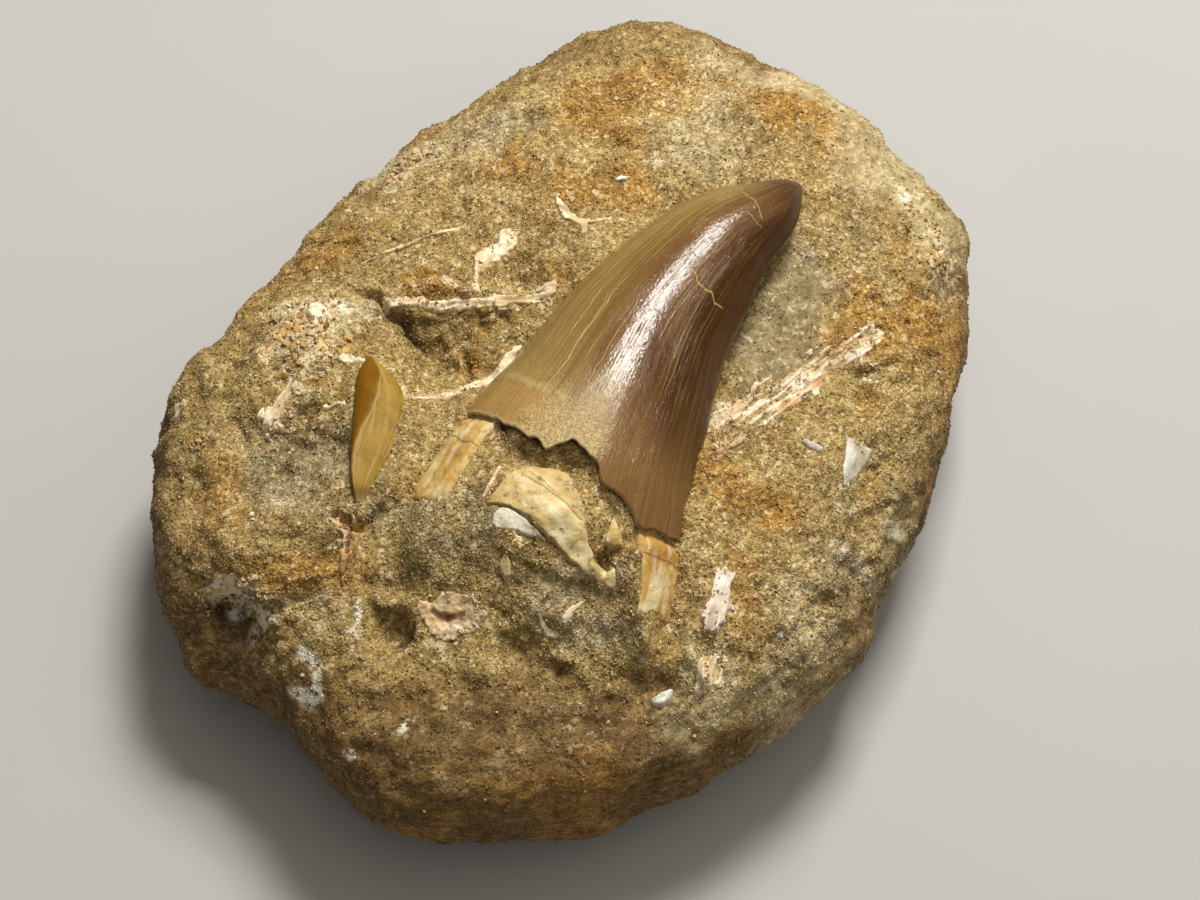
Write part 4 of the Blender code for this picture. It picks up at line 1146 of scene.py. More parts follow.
def scatter_places(stone, fossils, slabs, draw, count):
    """Points and normals on the stone's crumbly skin, thinner where it is worn and under the tooth."""
    mesh = stone.data
    mesh.calc_loop_triangles()
    faces = np.empty(len(mesh.loop_triangles) * 3, np.int32)
    mesh.loop_triangles.foreach_get("vertices", faces)
    faces = faces.reshape(-1, 3)
    points = points_of(stone)
    worn = np.empty(len(points), np.float32)
    mesh.attributes["worn"].data.foreach_get("value", worn)
    corners = points[faces]
    cross = np.cross(corners[:, 1] - corners[:, 0], corners[:, 2] - corners[:, 0])
    doubled = np.linalg.norm(cross, axis=1)
    normals = cross / np.maximum(doubled, 1e-9)[:, None]
    middle = corners.mean(axis=1)
    weight = doubled * (1.0 - 0.8 * worn[faces].mean(axis=1)) * smoothstep(4.0, 20.0, middle[:, 2])
    chosen = draw.choice(len(faces), size=count, p=weight / weight.sum())
    shares = draw.random((count, 2))
    over = shares.sum(axis=1) > 1.0
    shares[over] = 1.0 - shares[over]
    picked = corners[chosen]
    spots = picked[:, 0] + shares[:, :1] * (picked[:, 1] - picked[:, 0])
    spots += shares[:, 1:] * (picked[:, 2] - picked[:, 0])
    turned = normals[chosen]
    on_slab = slabs.covers(spots)
    spots[on_slab, 2] = slabs.tops(spots[on_slab])
    turned[on_slab] = (0.0, 0.0, 1.0)
    clear = top_at(fossils, spots, -ABOVE) < spots[:, 2] + 0.1
    clear &= ~on_slab
    return spots[clear], turned[clear]


def join_grains(name, spots, normals, sizes, draw, shape):
    """One mesh of many grains, each with its own proportions, turn and shade."""
    corners, faces = shape
    count = len(spots)
    lengths = sizes[:, None] * draw.uniform((0.75, 0.6, 0.45), (1.25, 1.0, 0.9), (count, 3))
    jitter = draw.uniform(0.82, 1.12, (count, len(corners), 1))
    shapes = corners[None] * jitter * lengths[:, None, :]
    turned = np.einsum("nij,nkj->nki", random_turns(draw, count), shapes)
    middles = spots + normals * (sizes * draw.uniform(-0.25, 0.4, count))[:, None]
    points = (turned + middles[:, None, :]).reshape(-1, 3)
    joined = (faces[None] + (np.arange(count) * len(corners))[:, None, None]).reshape(-1, 3)
    mesh = bpy.data.meshes.new(name)
    mesh.from_pydata((points * MM).tolist(), [], joined.tolist())
    made = bpy.data.objects.new(name, mesh)
    bpy.context.scene.collection.objects.link(made)
    for stain, values in stains_at(spots).items():
        keep_number(made, stain, np.repeat(values, len(corners)))
    keep_number(made, "shade", np.repeat(draw.random(count), len(corners)))
    return made


def make_sand(stone, fossils, slabs, material):
    """Scatters coarse and fine grains over the stone."""
    draw = np.random.default_rng(SAND_SEED)
    for kind, (count, pieces, smallest, largest) in GRAINS.items():
        shape = grain_shape(kind)
        spots, normals = scatter_places(stone, fossils, slabs, draw, count)
        sizes = smallest + (largest - smallest) * draw.random(len(spots)) ** 2
        groups = np.array_split(np.arange(len(spots)), pieces)
        for number, group in enumerate(groups, start=1):
            name = f"{kind}_sand_{number}"
            grains = join_grains(name, spots[group], normals[group], sizes[group], draw, shape)
            dress(grains, material, "matrix_stone")


def make_crumbs(stone, fossils, slabs, material):
    """Crumbs of shell and bone along the broken edges of the larger bits, and here and there."""
    draw = np.random.default_rng(CRUMB_SEED)
    ground = tree_of(stone)
    corners, faces = grain_shape("coarse")
    spots, sizes, tones = [], [], []
    for line, spread, count, size, tone in CRUMBS:
        table = np.array(line)
        shares = draw.random(count) * (len(table) - 1)
        first = np.minimum(shares.astype(int), len(table) - 2)
        middle = table[first] + (shares - first)[:, None] * (table[first + 1] - table[first])
        spots.append(middle + draw.normal(size=(count, 2)) * spread * 0.6)
        sizes.append(size * (0.35 + 0.9 * draw.random(count) ** 2))
        tones.append(np.clip(tone + 0.25 + 0.25 * draw.normal(size=count), 0.0, 1.0))
    plan = np.concatenate(spots)
    sizes, tones = np.concatenate(sizes), np.concatenate(tones)
    points = np.column_stack((plan, np.full(len(plan), 30.0)))
    points[:, 2] = top_at(ground, points, 0.0)
    points[:, 2] = np.maximum(points[:, 2], np.where(slabs.covers(points), slabs.tops(points), 0.0))
    clear = (top_at(fossils, points, -ABOVE) < points[:, 2] + 0.1) & (points[:, 2] > 4.0)
    upright = np.tile((0.0, 0.0, 1.0), (clear.sum(), 1))
    flake = (corners * (1.2, 1.1, 0.4), faces)
    crumbs = join_grains("shell_crumbs", points[clear], upright, sizes[clear], draw, flake)
    keep_number(crumbs, "tone", np.repeat(tones[clear], len(corners)))
    dress(crumbs, material, "pale_bone", smooth=False)


# ---- The mosasaur tooth ----
def horn_points(shares, turns, grow=0.0):
    """Points of the tooth's surface, at shares of the way to its tip and turns in radians about it."""
    here = along_stations(HORN, shares)
    along = along_stations(HORN, shares + 0.02)[:, :3] - along_stations(HORN, shares - 0.02)[:, :3]
    along /= np.linalg.norm(along, axis=1)[:, None]
    across = np.cross(along, (0.0, 0.0, 1.0))
    across /= np.linalg.norm(across, axis=1)[:, None]
    up = np.cross(across, along)
    half_width, half_depth = here[:, 3], here[:, 4]
    keel = KEEL * np.minimum(1.0, half_width / 4.0) * np.abs(np.cos(turns)) ** 24
    sideways = np.cos(turns) * (half_width + keel + grow)
    upwards = np.sin(turns) * (half_depth + grow)
    return here[:, :3] + across * sideways[:, None] + up * upwards[:, None]


def break_shares(turns):
    """How far along the tooth the crown's broken edge lies, at turns about its axis."""
    lost = BREAK + ((BREAK[-1][0], FRONT), (BREAK[0][0], FRONT))
    shares = np.full(len(turns), 0.4)
    looking = np.ones(len(turns), bool)
    while looking.any():
        points = horn_points(shares, turns)
        looking &= ~inside(lost, points[:, 0], points[:, 1]) & (shares > 0.05)
        shares = np.where(looking, shares - 0.001, shares)
    return shares


def lay_lines(obj, along, turn):
    """A UV map in millimetres along the tooth and degrees about it."""
    layer = obj.data.uv_layers.new(name="lines")
    corner = np.empty(len(obj.data.loops), np.int32)
    obj.data.loops.foreach_get("vertex_index", corner)
    places = np.stack((along[corner], turn[corner]), axis=1)
    layer.data.foreach_set("uv", places.astype(np.float32).ravel())


def make_crown():
    """The enamelled crown: a sheet rolled into a horn, with a wall turned in at its broken edge."""
    rings = CROWN_RINGS + WALL_RINGS
    crown = sheet_of_squares("mosasaur_crown", CROWN_SQUARES, rings)
    around, place = grid_places(crown)
    turns = np.radians(SEAM_TURN + 360.0 * around)
    ring = np.rint(place * rings) - WALL_RINGS
    start = break_shares(turns)
    edge_spot = horn_points(start, turns)
    start = start + (0.22 * rough_noise(edge_spot, 1.1, 3, 5) + 0.1) / HORN_LENGTH
    outward = np.clip(ring / CROWN_RINGS, 0.0, 1.0)
    shares = start + (1.0 - start) * outward
    inward = np.clip(-ring, 0.0, WALL_RINGS)
    depth_in = np.minimum(inward / 2.0, 1.0) * ENAMEL_WALL
    shares += np.maximum(inward - 2.0, 0.0) / (WALL_RINGS - 2.0) * BROKEN_RECESS / HORN_LENGTH
    points = horn_points(shares, turns)
    inner = horn_points(shares, turns, -1.0) - points
    points += inner * depth_in[:, None]
    place_points(crown, points)
    along = shares * HORN_LENGTH
    degrees = np.degrees(turns) - 360.0
    broken_side = np.clip(inward, 0.0, 1.0)
    from_edge = (shares - start) * HORN_LENGTH
    lay_lines(crown, along, SEAM_TURN + 360.0 * around)
    keep_number(crown, "along", along)
    keep_number(crown, "turn", degrees)
    keep_number(crown, "broken", broken_side)
    keep_number(crown, "from_edge", from_edge)
    merge_and_face_out(crown)
    fill_openings(crown)
    merge_and_face_out(crown)
    return crown


def make_root_strip(name, first, last, lower, narrowing):
    """What is left of the tooth's base at one side: a bent slab, from under the enamel down to the sand."""
    strip = sheet_of_squares(name, *STRIP_SQUARES)
    apply_modifier(strip, "SOLIDIFY", thickness=1.0, offset=-1.0)
    numbers = points_of(strip) * MM
    across, along = (numbers[:, 0] + 1.0) / 2.0, (numbers[:, 1] + 1.0) / 2.0
    deep = np.where(numbers[:, 2] < -0.5, 1.0, 0.0)
    turns = np.radians(first + (last - first) * across * (1.0 - narrowing * (1.0 - along)))
    top = break_shares(turns) + STRIP_LAP / HORN_LENGTH
    shares = lower + (top - lower) * along
    points = horn_points(shares, turns)
    inwards = horn_points(shares, turns, -1.0) - points
    below = (break_shares(turns) - shares) * HORN_LENGTH
    dip = (ENAMEL_WALL + 0.12) * smoothstep(0.9, 0.1, below)
    dip += 1.8 * smoothstep(0.14, -0.04, along + 0.06 * rough_noise(points, 1.5, 3, 7))
    points += inwards * (deep * STRIP_THICKNESS + dip)[:, None]
    points += (0.10 * rough_noise(points, 1.1, 3, 8) * (1.0 - deep))[:, None] * -inwards
    place_points(strip, points)
    lay_lines(strip, shares * HORN_LENGTH, np.degrees(turns))
    streaks = np.column_stack((shares * 9.0, turns * 9.0, np.zeros(len(turns))))
    keep_number(strip, "fibre", np.clip(0.5 + 0.5 * rough_noise(streaks, 0.6, 3, 6), 0.0, 1.0))
    ring = np.abs(along - 0.62 - 0.03 * rough_noise(points, 2.0, 2, 3))
    keep_number(strip, "cracked", smoothstep(0.010, 0.003, ring))
    keep_number(strip, "inward", 9.0 * along + 0.1)
    merge_and_face_out(strip)
    return strip


# ---- The fish fang ----
def make_fang(slabs):
    """A flat-bottomed blade with a rounded ridge that runs from the tip to the left edge."""
    fang = sheet_of_squares("fish_fang_blade", *FANG_SQUARES)
    around, along = grid_places(fang)
    table = along_stations(FANG, along)
    y, left, ridge, right, height = table.T
    below = np.column_stack((np.full(len(y), FANG_MIDDLE), y, np.zeros(len(y))))
    level = evened_out(along, slabs.level(below))
    over = np.clip(around / FANG_TOP_SHARE, 0.0, 1.0) * 2.0 - 1.0
    under = np.clip((around - FANG_TOP_SHARE) / (1.0 - FANG_TOP_SHARE), 0.0, 1.0)
    reach = np.where(over < 0, ridge - left, right - ridge)
    x = np.where(under > 0, right + (left - right) * under, ridge + over * reach)
    dome = (1.0 - np.abs(over) ** 2.4) ** 0.75
    bed = level - FANG_BED * np.sin(under * math.pi) ** 0.3
    z = np.where(under > 0, bed, level + 0.3 + (height - 0.55) * dome)
    z -= 1.3 * smoothstep(0.035, 0.0, along) + 0.7 * smoothstep(0.88, 1.0, along)
    place_points(fang, np.column_stack((x, y, z)))
    keep_number(fang, "along", along)
    wander = 0.05 * rough_noise(points_of(fang), 1.5, 2, 4)
    keep_number(fang, "facet", smoothstep(-0.12, 0.3, over + wander))
    keep_number(fang, "across", np.clip((x - left) / np.maximum(right - left, 0.1), 0.0, 1.0))
    lay_lines(fang, y, x)
    merge_and_face_out(fang)
    fill_openings(fang)
    merge_and_face_out(fang)
    return fang


def evened_out(shares, values):
    """The values without their bumps: read between their means about nine evenly spaced shares."""
    middles = np.linspace(0.0, 1.0, 9)
    means = [values[np.abs(shares - middle) < 0.12].mean() for middle in middles]
    return np.interp(shares, middles, means)


# ---- Materials ----
class Value:
    """A number that varies over a surface. Arithmetic on it adds Math nodes."""

    def __init__(self, paint, socket):
        self.paint = paint
        self.socket = socket

    def math(self, operation, *others):
        return self.paint.node("ShaderNodeMath", {"operation": operation}, dict(enumerate(others)))

    def __add__(self, other):
        return self.math("ADD", self, other)

    def __radd__(self, other):
        return self.math("ADD", other, self)

    def __sub__(self, other):
        return self.math("SUBTRACT", self, other)

    def __rsub__(self, other):
        return self.math("SUBTRACT", other, self)

    def __mul__(self, other):
        return self.math("MULTIPLY", self, other)

    def __rmul__(self, other):
        return self.math("MULTIPLY", other, self)

    def __abs__(self):
        return self.math("ABSOLUTE", self)

    def at_least(self, other):
        return self.math("MAXIMUM", self, other)


class Paint:
    """One material and the nodes in it."""

    def __init__(self, name, constants):
        self.material = bpy.data.materials.new(name)
        self.material.use_nodes = True
        self.nodes = self.material.node_tree.nodes
        self.links = self.material.node_tree.links
        self.shader = self.nodes["Principled BSDF"]
        for socket, value in constants.items():
            self.shader.inputs[socket].default_value = value

    def node(self, kind, settings=None, sockets=None, output=0):
        """Adds a node. Its settings are set first, then the values or links of its sockets."""
        made = self.nodes.new(kind)
        for name, value in (settings or {}).items():
            if name == "stops":
                self.set_stops(made.color_ramp, value)
            else:
                setattr(made, name, value)
        for name, value in (sockets or {}).items():
            if isinstance(value, Value):
                self.links.new(value.socket, made.inputs[name])
            else:
                made.inputs[name].default_value = value
        return Value(self, made.outputs[output])

    def set_stops(self, ramp, stops):
        while len(ramp.elements) < len(stops):
            ramp.elements.new(0.5)
        for element, (position, colour) in zip(ramp.elements, stops):
            element.position = position
            element.color = (*colour, 1.0)

    def finish(self, colour, roughness, normal=None):
        """Links what varies to the shader, and returns the material."""
        varying = {"Base Color": colour, "Roughness": roughness, "Normal": normal}
        for socket, value in varying.items():
            if value:
                self.links.new(value.socket, self.shader.inputs[socket])
        return self.material

    def place(self):
        """Object coordinates, in metres."""
        return self.node("ShaderNodeTexCoord", output=3)

    def lines(self):
        """The piece's own UV map."""
        return self.node("ShaderNodeUVMap", {"uv_map": "lines"})

    def stretched(self, place, scale):
        return self.node("ShaderNodeMapping", {"vector_type": "POINT"}, {"Vector": place, "Scale": scale})

    def number(self, name):
        return self.node("ShaderNodeAttribute", {"attribute_name": name}, output=2)

    def noise(self, place, size, detail=3.0, roughness=0.55, distortion=0.0):
        """Soft noise from 0 to 1; size is in the place's own units."""
        sockets = {"Vector": place, "Scale": 1.0 / size, "Detail": detail}
        sockets |= {"Roughness": roughness, "Distortion": distortion}
        return self.node("ShaderNodeTexNoise", {"noise_dimensions": "3D"}, sockets)

    def cells(self, place, size, feature="F1", output=0):
        sockets = {"Vector": place, "Scale": 1.0 / size}
        return self.node("ShaderNodeTexVoronoi", {"feature": feature}, sockets, output)

    def cell_shade(self, place, size):
        """An even random number for each cell."""
        colour = self.cells(place, size, output=1)
        return self.node("ShaderNodeSeparateColor", {"mode": "RGB"}, {"Color": colour})

    def step(self, value, low, high):
        """0 at low and 1 at high, with a smooth change between them."""
        sockets = {"Value": value, "From Min": low, "From Max": high}
        return self.node("ShaderNodeMapRange", {"interpolation_type": "SMOOTHSTEP", "clamp": True}, sockets)

    def ramp(self, value, *stops):
        return self.node("ShaderNodeValToRGB", {"stops": stops}, {"Fac": value})

    def mix(self, share, first, second):
        """first where share is 0 and second where it is 1; both are colours."""
        opaque = [(*colour, 1.0) if isinstance(colour, tuple) else colour for colour in (first, second)]
        sockets = {0: share, 6: opaque[0], 7: opaque[1]}
        return self.node("ShaderNodeMix", {"data_type": "RGBA"}, sockets, 2)

    def bump(self, height, distance):
        """A normal from a height of 0 to 1 that stands for a distance in metres."""
        return self.node("ShaderNodeBump", {}, {"Height": height, "Distance": distance, "Strength": 1.0})


# The shades of the sand, from its darkest grains to its palest, plain and in each kind of patch. The wall
# and umber shades also serve as painted shade, and the pale shades partly as painted light.
SAND_SHADES = {
    "plain": (
        (0.0, (0.125, 0.072, 0.020)), (0.25, (0.215, 0.137, 0.041)), (0.5, (0.325, 0.225, 0.078)),
        (0.75, (0.455, 0.340, 0.142)), (1.0, (0.66, 0.54, 0.30)),
    ),
    "wall": ((0.0, (0.060, 0.030, 0.008)), (0.5, (0.140, 0.074, 0.020)), (1.0, (0.29, 0.175, 0.06))),
    "grey": ((0.0, (0.10, 0.072, 0.030)), (0.5, (0.25, 0.198, 0.100)), (1.0, (0.50, 0.44, 0.29))),
    "rust": (
        (0.0, (0.085, 0.034, 0.006)), (0.5, (0.33, 0.165, 0.028)), (0.8, (0.50, 0.29, 0.065)),
        (1.0, (0.66, 0.49, 0.19)),
    ),
    "pale": ((0.0, (0.16, 0.11, 0.045)), (0.5, (0.43, 0.35, 0.185)), (1.0, (0.76, 0.69, 0.48))),
    "umber": ((0.0, (0.040, 0.021, 0.007)), (0.6, (0.14, 0.084, 0.028)), (1.0, (0.34, 0.24, 0.10))),
    "chalk": ((0.0, (0.68, 0.62, 0.46)), (1.0, (0.93, 0.88, 0.74))),
}
# How far each patch covers the plain sand, in the order they are laid.
PATCH_STRENGTHS = {"wall": 0.85, "grey": 0.8, "rust": 0.75, "pale": 0.7, "umber": 0.75}


def stone_colour(paint, shade, place):
    """Sandy phosphate: each grain its own shade, stained in patches, some of which are painted shade and
    painted light.
    """
    colour = paint.ramp(shade, *SAND_SHADES["plain"])
    for patch, strength in PATCH_STRENGTHS.items():
        stained = paint.ramp(shade, *SAND_SHADES[patch])
        colour = paint.mix(paint.number(patch) * strength, colour, stained)
    crust = paint.noise(place, 0.0026, 5.0, 0.72, 0.5)
    colour = shell_and_ochre(paint, colour, shade, place, crust)
    colour = layers_of_the_wall(paint, colour, place)
    colour = flecks(paint, colour, place, crust)
    chalk = paint.ramp(shade, *SAND_SHADES["chalk"])
    chalk_share = paint.number("chalk") * paint.step(paint.noise(place, 0.0010, 4.0, 0.65), 0.40, 0.50)
    return paint.mix(chalk_share, colour, chalk)


def shell_and_ochre(paint, colour, shade, place, crust):
    """The hash: ochre clots and bits of pale shell."""
    shelly = paint.number("hash")
    ochre = paint.step(paint.noise(place, 0.0031, 5.0, 0.7, 0.8), 0.53, 0.58)
    colour = paint.mix(shelly * ochre * 0.8, colour, (0.44, 0.215, 0.045))
    shell_share = paint.step(crust + shelly * 0.17, 0.60, 0.66) * paint.step(shelly, 0.05, 0.3)
    shell = paint.mix(shade, (0.36, 0.26, 0.12), (0.80, 0.70, 0.47))
    return paint.mix(shell_share * 0.85, colour, shell)


def layers_of_the_wall(paint, colour, place):
    """Dark and pale streaks along the beds low down on the block's sides."""
    layered = paint.noise(paint.stretched(place, (0.28, 1.0, 1.7)), 0.0012, 5.0, 0.75, 0.3)
    low_down = paint.number("wall")
    colour = paint.mix(low_down * paint.step(layered, 0.46, 0.40) * 0.55, colour, (0.062, 0.030, 0.010))
    return paint.mix(low_down * paint.step(layered, 0.57, 0.63) * 0.55, colour, (0.42, 0.28, 0.12))


def flecks(paint, colour, place, crust):
    """Pale flecks, and single grains that are very pale or very dark."""
    low_down = paint.number("wall")
    fleck = paint.step(paint.cell_shade(place, 0.0006), 0.935, 0.96)
    fleck_share = fleck * paint.step(crust, 0.42, 0.58) * (0.6 - low_down * 0.4)
    colour = paint.mix(fleck_share, colour, (0.68, 0.58, 0.38))
    speck = paint.cell_shade(place, 0.00036)
    pale_share = paint.step(speck, 0.955, 0.975) * (1.0 - low_down) * 0.5
    colour = paint.mix(pale_share, colour, (0.72, 0.63, 0.44))
    return paint.mix(paint.step(speck, 0.050, 0.030) * 0.5, colour, (0.070, 0.036, 0.012))


def stone_material():
    """The block's own skin, between its loose grains."""
    paint = Paint("sandy_matrix", {"Specular IOR Level": 0.3})
    place = paint.place()
    worn = paint.number("worn")
    coarse = paint.cell_shade(place, 0.00045) - 0.5
    fine = paint.cell_shade(place, 0.00026) - 0.5
    blotch = paint.noise(place, 0.0013, 3.0, 0.6) - 0.5
    cloud = paint.noise(place, 0.0042, 4.0, 0.6) - 0.5
    shade = (coarse * 0.42 + fine * 0.46) * (1.0 - worn * 0.5) + blotch * 0.85 + cloud * 0.8 + 0.46
    colour = stone_colour(paint, shade, place)
    rounded = 1.0 - paint.cells(place, 0.00045)
    pitted = 1.0 - paint.cells(place, 0.00026)
    height = rounded * 0.6 + pitted * 0.45 + paint.noise(place, 0.0009, 4.0, 0.7) * 1.3
    normal = paint.bump(height * (1.0 - worn * 0.65), 0.00016)
    glint = paint.step(paint.cell_shade(place, 0.00031), 0.93, 0.97)
    roughness = 0.92 - glint * 0.5 - worn * 0.12
    return paint.finish(colour, roughness, normal)


def sand_material():
    """Loose grains, each with a shade of its own."""
    paint = Paint("loose_sand", {"Specular IOR Level": 0.4})
    place = paint.place()
    shade = paint.number("shade")
    cloud = paint.noise(place, 0.0042, 4.0, 0.6) - 0.5
    blotch = paint.noise(place, 0.0013, 3.0, 0.6) - 0.5
    lit = shade * 0.54 + 0.20 + blotch * 0.8 + cloud * 0.8 + paint.noise(place, 0.00018, 2.0) * 0.1
    colour = stone_colour(paint, lit, place)
    glint = paint.step(shade, 0.90, 0.94) * paint.step(shade, 0.99, 0.95)
    normal = paint.bump(paint.noise(place, 0.00009, 2.0), 0.00003)
    return paint.finish(colour, 0.85 - glint * 0.5, normal)


def enamel_material():
    """Glossy brown enamel with hairline cracks that run up the crown."""
    paint = Paint("brown_enamel", {"Specular IOR Level": 0.25})
    place = paint.place()
    lines = paint.lines()
    along = paint.number("along")
    turn = paint.number("turn")
    cloud = paint.noise(paint.stretched(lines, (0.1, 0.03, 1.0)), 1.0, 4.0)
    turned = turn + (cloud - 0.5) * 44.0
    from_edge = paint.number("from_edge") + (cloud - 0.5) * 2.4
    grit = paint.noise(place, 0.00026, 3.0, 0.7)
    worn_patch = paint.step(from_edge, 9.5, 1.0) * paint.step(turned, 66.0, 82.0)
    worn_patch = worn_patch * paint.step(turned, 124.0, 106.0)
    frosted = worn_patch * paint.step(grit + worn_patch * 0.08, 0.54, 0.66)
    body = enamel_zones(paint, cloud, turned, along, from_edge)
    body = enamel_streaks(paint, body, place, lines, from_edge)
    body = paint.mix(frosted * 0.6, body, (0.62, 0.50, 0.25))
    wobble = paint.noise(paint.stretched(lines, (0.20, 0.03, 1.0)), 1.0, 4.0, 0.6)
    fine_gap = paint.cells(paint.stretched(lines, (0.05, 0.42, 1.0)), 1.0, "DISTANCE_TO_EDGE")
    fine_line = paint.step(fine_gap, 0.030, 0.008) * paint.step(cloud, 0.48, 0.60) * 0.25
    keel = paint.step(abs(turn - 172.0), 2.6, 1.0) * paint.step(along, 20.0, 26.0)
    keel = keel * paint.step(along, 60.0, 52.0)
    cracks = hairlines(paint, along, turn, wobble).at_least(fine_line).at_least(keel * 0.8)
    cracks = cracks.at_least(across_cracks(paint, along, turn, wobble))
    colour = paint.mix(cracks * 0.75, body, (0.46, 0.335, 0.11))
    rim = paint.step(paint.number("from_edge") + (grit - 0.5) * 0.9, 0.34, 0.16)
    colour = paint.mix(rim * paint.step(turned, 70.0, 90.0) * 0.7, colour, (0.46, 0.35, 0.17))
    broken = paint.number("broken")
    chipped = paint.mix(paint.noise(place, 0.0006, 3.0), (0.34, 0.22, 0.10), (0.72, 0.60, 0.38))
    colour = paint.mix(broken, colour, chipped)
    speck = paint.step(paint.cell_shade(place, 0.0003), 0.90, 0.95)
    dents = paint.noise(place, 0.00038, 1.0) * 0.42 + paint.noise(place, 0.0012, 2.0) * 0.70
    height = scratched(paint, lines) + grit * worn_patch * 2.0 + dents - cracks * 0.6 - speck * 0.3
    roughness = 0.07 + paint.noise(place, 0.0005, 3.0) * 0.09 + frosted * 0.3 + broken * 0.4 + speck * 0.2
    return paint.finish(colour, roughness, paint.bump(height, 0.00005))


def enamel_zones(paint, cloud, turned, along, from_edge):
    """Olive at the left, dark brown at the right and towards the tip, with zones by the broken edge."""
    to_left = paint.step(turned, 90.0, 138.0)
    to_right = paint.step(turned, 83.0, 50.0)
    body = paint.mix(to_left, (0.122, 0.056, 0.014), (0.235, 0.147, 0.036))
    body = paint.mix(to_right, body, (0.044, 0.0145, 0.0028))
    near_tip = paint.step(along + (cloud - 0.5) * 8.0, 46.0, 61.0)
    body = paint.mix(near_tip, body, (0.060, 0.026, 0.011))
    # By the broken edge: golden in the middle, dull brown at the right, a tan band at the left.
    golden = paint.step(from_edge, 11.0, 1.0) * paint.step(turned, 66.0, 86.0)
    body = paint.mix(golden * 0.75, body, (0.36, 0.250, 0.085))
    low_right = paint.step(turned, 84.0, 66.0) * paint.step(from_edge, 12.0, 3.0)
    body = paint.mix(low_right * 0.7, body, (0.215, 0.120, 0.040))
    left_low = paint.step(turned, 92.0, 108.0)
    tan_band = paint.step(from_edge, 4.3, 3.7) * left_low
    body = paint.mix(tan_band * 0.85, body, (0.330, 0.195, 0.060))
    cream_line = paint.step(from_edge, 3.7, 4.1) * paint.step(from_edge, 5.0, 4.4) * left_low
    return paint.mix(cream_line * paint.step(cloud, 0.36, 0.60) * 0.75, body, (0.42, 0.33, 0.14))


def enamel_streaks(paint, body, place, lines, from_edge):
    """Pale and dark streaks up the crown, and dark mottling near its broken edge."""
    streaks = paint.noise(paint.stretched(lines, (0.06, 0.5, 1.0)), 1.0, 5.0, 0.6)
    mottle = paint.noise(place, 0.0016, 4.0, 0.65)
    body = paint.mix(paint.step(streaks, 0.46, 0.70) * 0.26, body, (0.29, 0.175, 0.055))
    body = paint.mix(paint.step(streaks, 0.52, 0.36) * 0.35, body, (0.085, 0.038, 0.012))
    mottled = paint.step(mottle, 0.5, 0.34) * paint.step(from_edge, 14.0, 2.0)
    return paint.mix(mottled * 0.35, body, (0.12, 0.062, 0.020))


def scratched(paint, lines):
    """Fine scratches and low ridges up the crown."""
    scratch = paint.noise(paint.stretched(lines, (0.35, 1.6, 1.0)), 1.0, 4.0, 0.7)
    ridges = paint.noise(paint.stretched(lines, (0.14, 0.55, 1.0)), 1.0, 3.0, 0.6)
    return paint.step(scratch, 0.54, 0.70) * 0.40 + ridges * 0.15


def hairlines(paint, along, turn, wobble):
    """1 on the cracks that run up the crown."""
    total = None
    for middle, lean, start, end in HAIRLINES:
        off = abs(turn - (along - 34.0) * lean - middle + (wobble - 0.5) * 9.0)
        line = paint.step(off, 0.42, 0.12) * paint.step(along, start, start + 5.0)
        line = line * paint.step(along, end, end - 5.0)
        total = line if total is None else total.at_least(line)
    return total * paint.step(wobble, 0.30, 0.48) * (paint.step(turn, 66.0, 100.0) * 0.7 + 0.3)


def across_cracks(paint, along, turn, wobble):
    """1 on the cracks that run across the crown."""
    total = None
    for middle, slope, first, last in ACROSS:
        off = abs(along + (turn - 80.0) * slope - middle + (wobble - 0.5) * 3.0)
        crack = paint.step(off, 0.11, 0.03) * paint.step(turn, first, first + 6.0)
        crack = crack * paint.step(turn, last, last - 6.0)
        total = crack if total is None else total.at_least(crack)
    return total


def dentine_material(name, low, middle, high, patch, gloss=0.45, dirt=0.3, fibrous=0.3, stained=0.6):
    """Dentine, cementum or bone: cream to orange, streaked, cracked and stained with sand."""
    paint = Paint(name, {"Specular IOR Level": 0.35})
    place = paint.place()
    cloud = paint.noise(place, 0.0036, 4.0, 0.6)
    colour = paint.ramp(cloud, (0.36, low), (0.5, middle), (0.64, high))
    stain = paint.step(paint.noise(place, 0.0026, 4.0, 0.65, 0.4), 0.50, 0.64)
    colour = paint.mix(stain * stained, colour, patch)
    soaked = paint.number("stained")
    colour = paint.mix(soaked * paint.step(cloud + soaked * 0.12, 0.42, 0.60) * 0.85, colour, patch)
    fibre = paint.number("fibre")
    colour = paint.mix(paint.step(fibre, 0.5, 0.3) * fibrous, colour, (0.30, 0.20, 0.09))
    colour = paint.mix(paint.step(fibre, 0.6, 0.8) * fibrous, colour, (0.84, 0.80, 0.66))
    grit = paint.cell_shade(place, 0.0003)
    dusty = paint.noise(place, 0.0013, 4.0, 0.7) + soaked * 0.10
    sandy = paint.step(dusty, 0.66 - 0.22 * dirt, 0.74 - 0.22 * dirt)
    sand = paint.ramp(
        grit, (0.0, (0.12, 0.075, 0.030)), (0.5, (0.33, 0.24, 0.10)), (1.0, (0.62, 0.50, 0.28))
    )
    colour = paint.mix(sandy * 0.9, colour, sand)
    creeping = paint.number("inward") + (paint.noise(place, 0.0007, 4.0, 0.7) - 0.5) * 1.3
    colour = paint.mix(paint.step(creeping, 0.22, 0.0) * 0.85, colour, sand)
    cracked = paint.number("cracked")
    colour = paint.mix(cracked * 0.85, colour, (0.13, 0.060, 0.018))
    height = paint.noise(place, 0.0005, 4.0, 0.65) + grit * (0.2 + sandy * 0.6) + fibre * fibrous
    roughness = gloss + paint.noise(place, 0.0009, 3.0) * 0.3
    return paint.finish(colour, roughness, paint.bump(height, 0.00009))


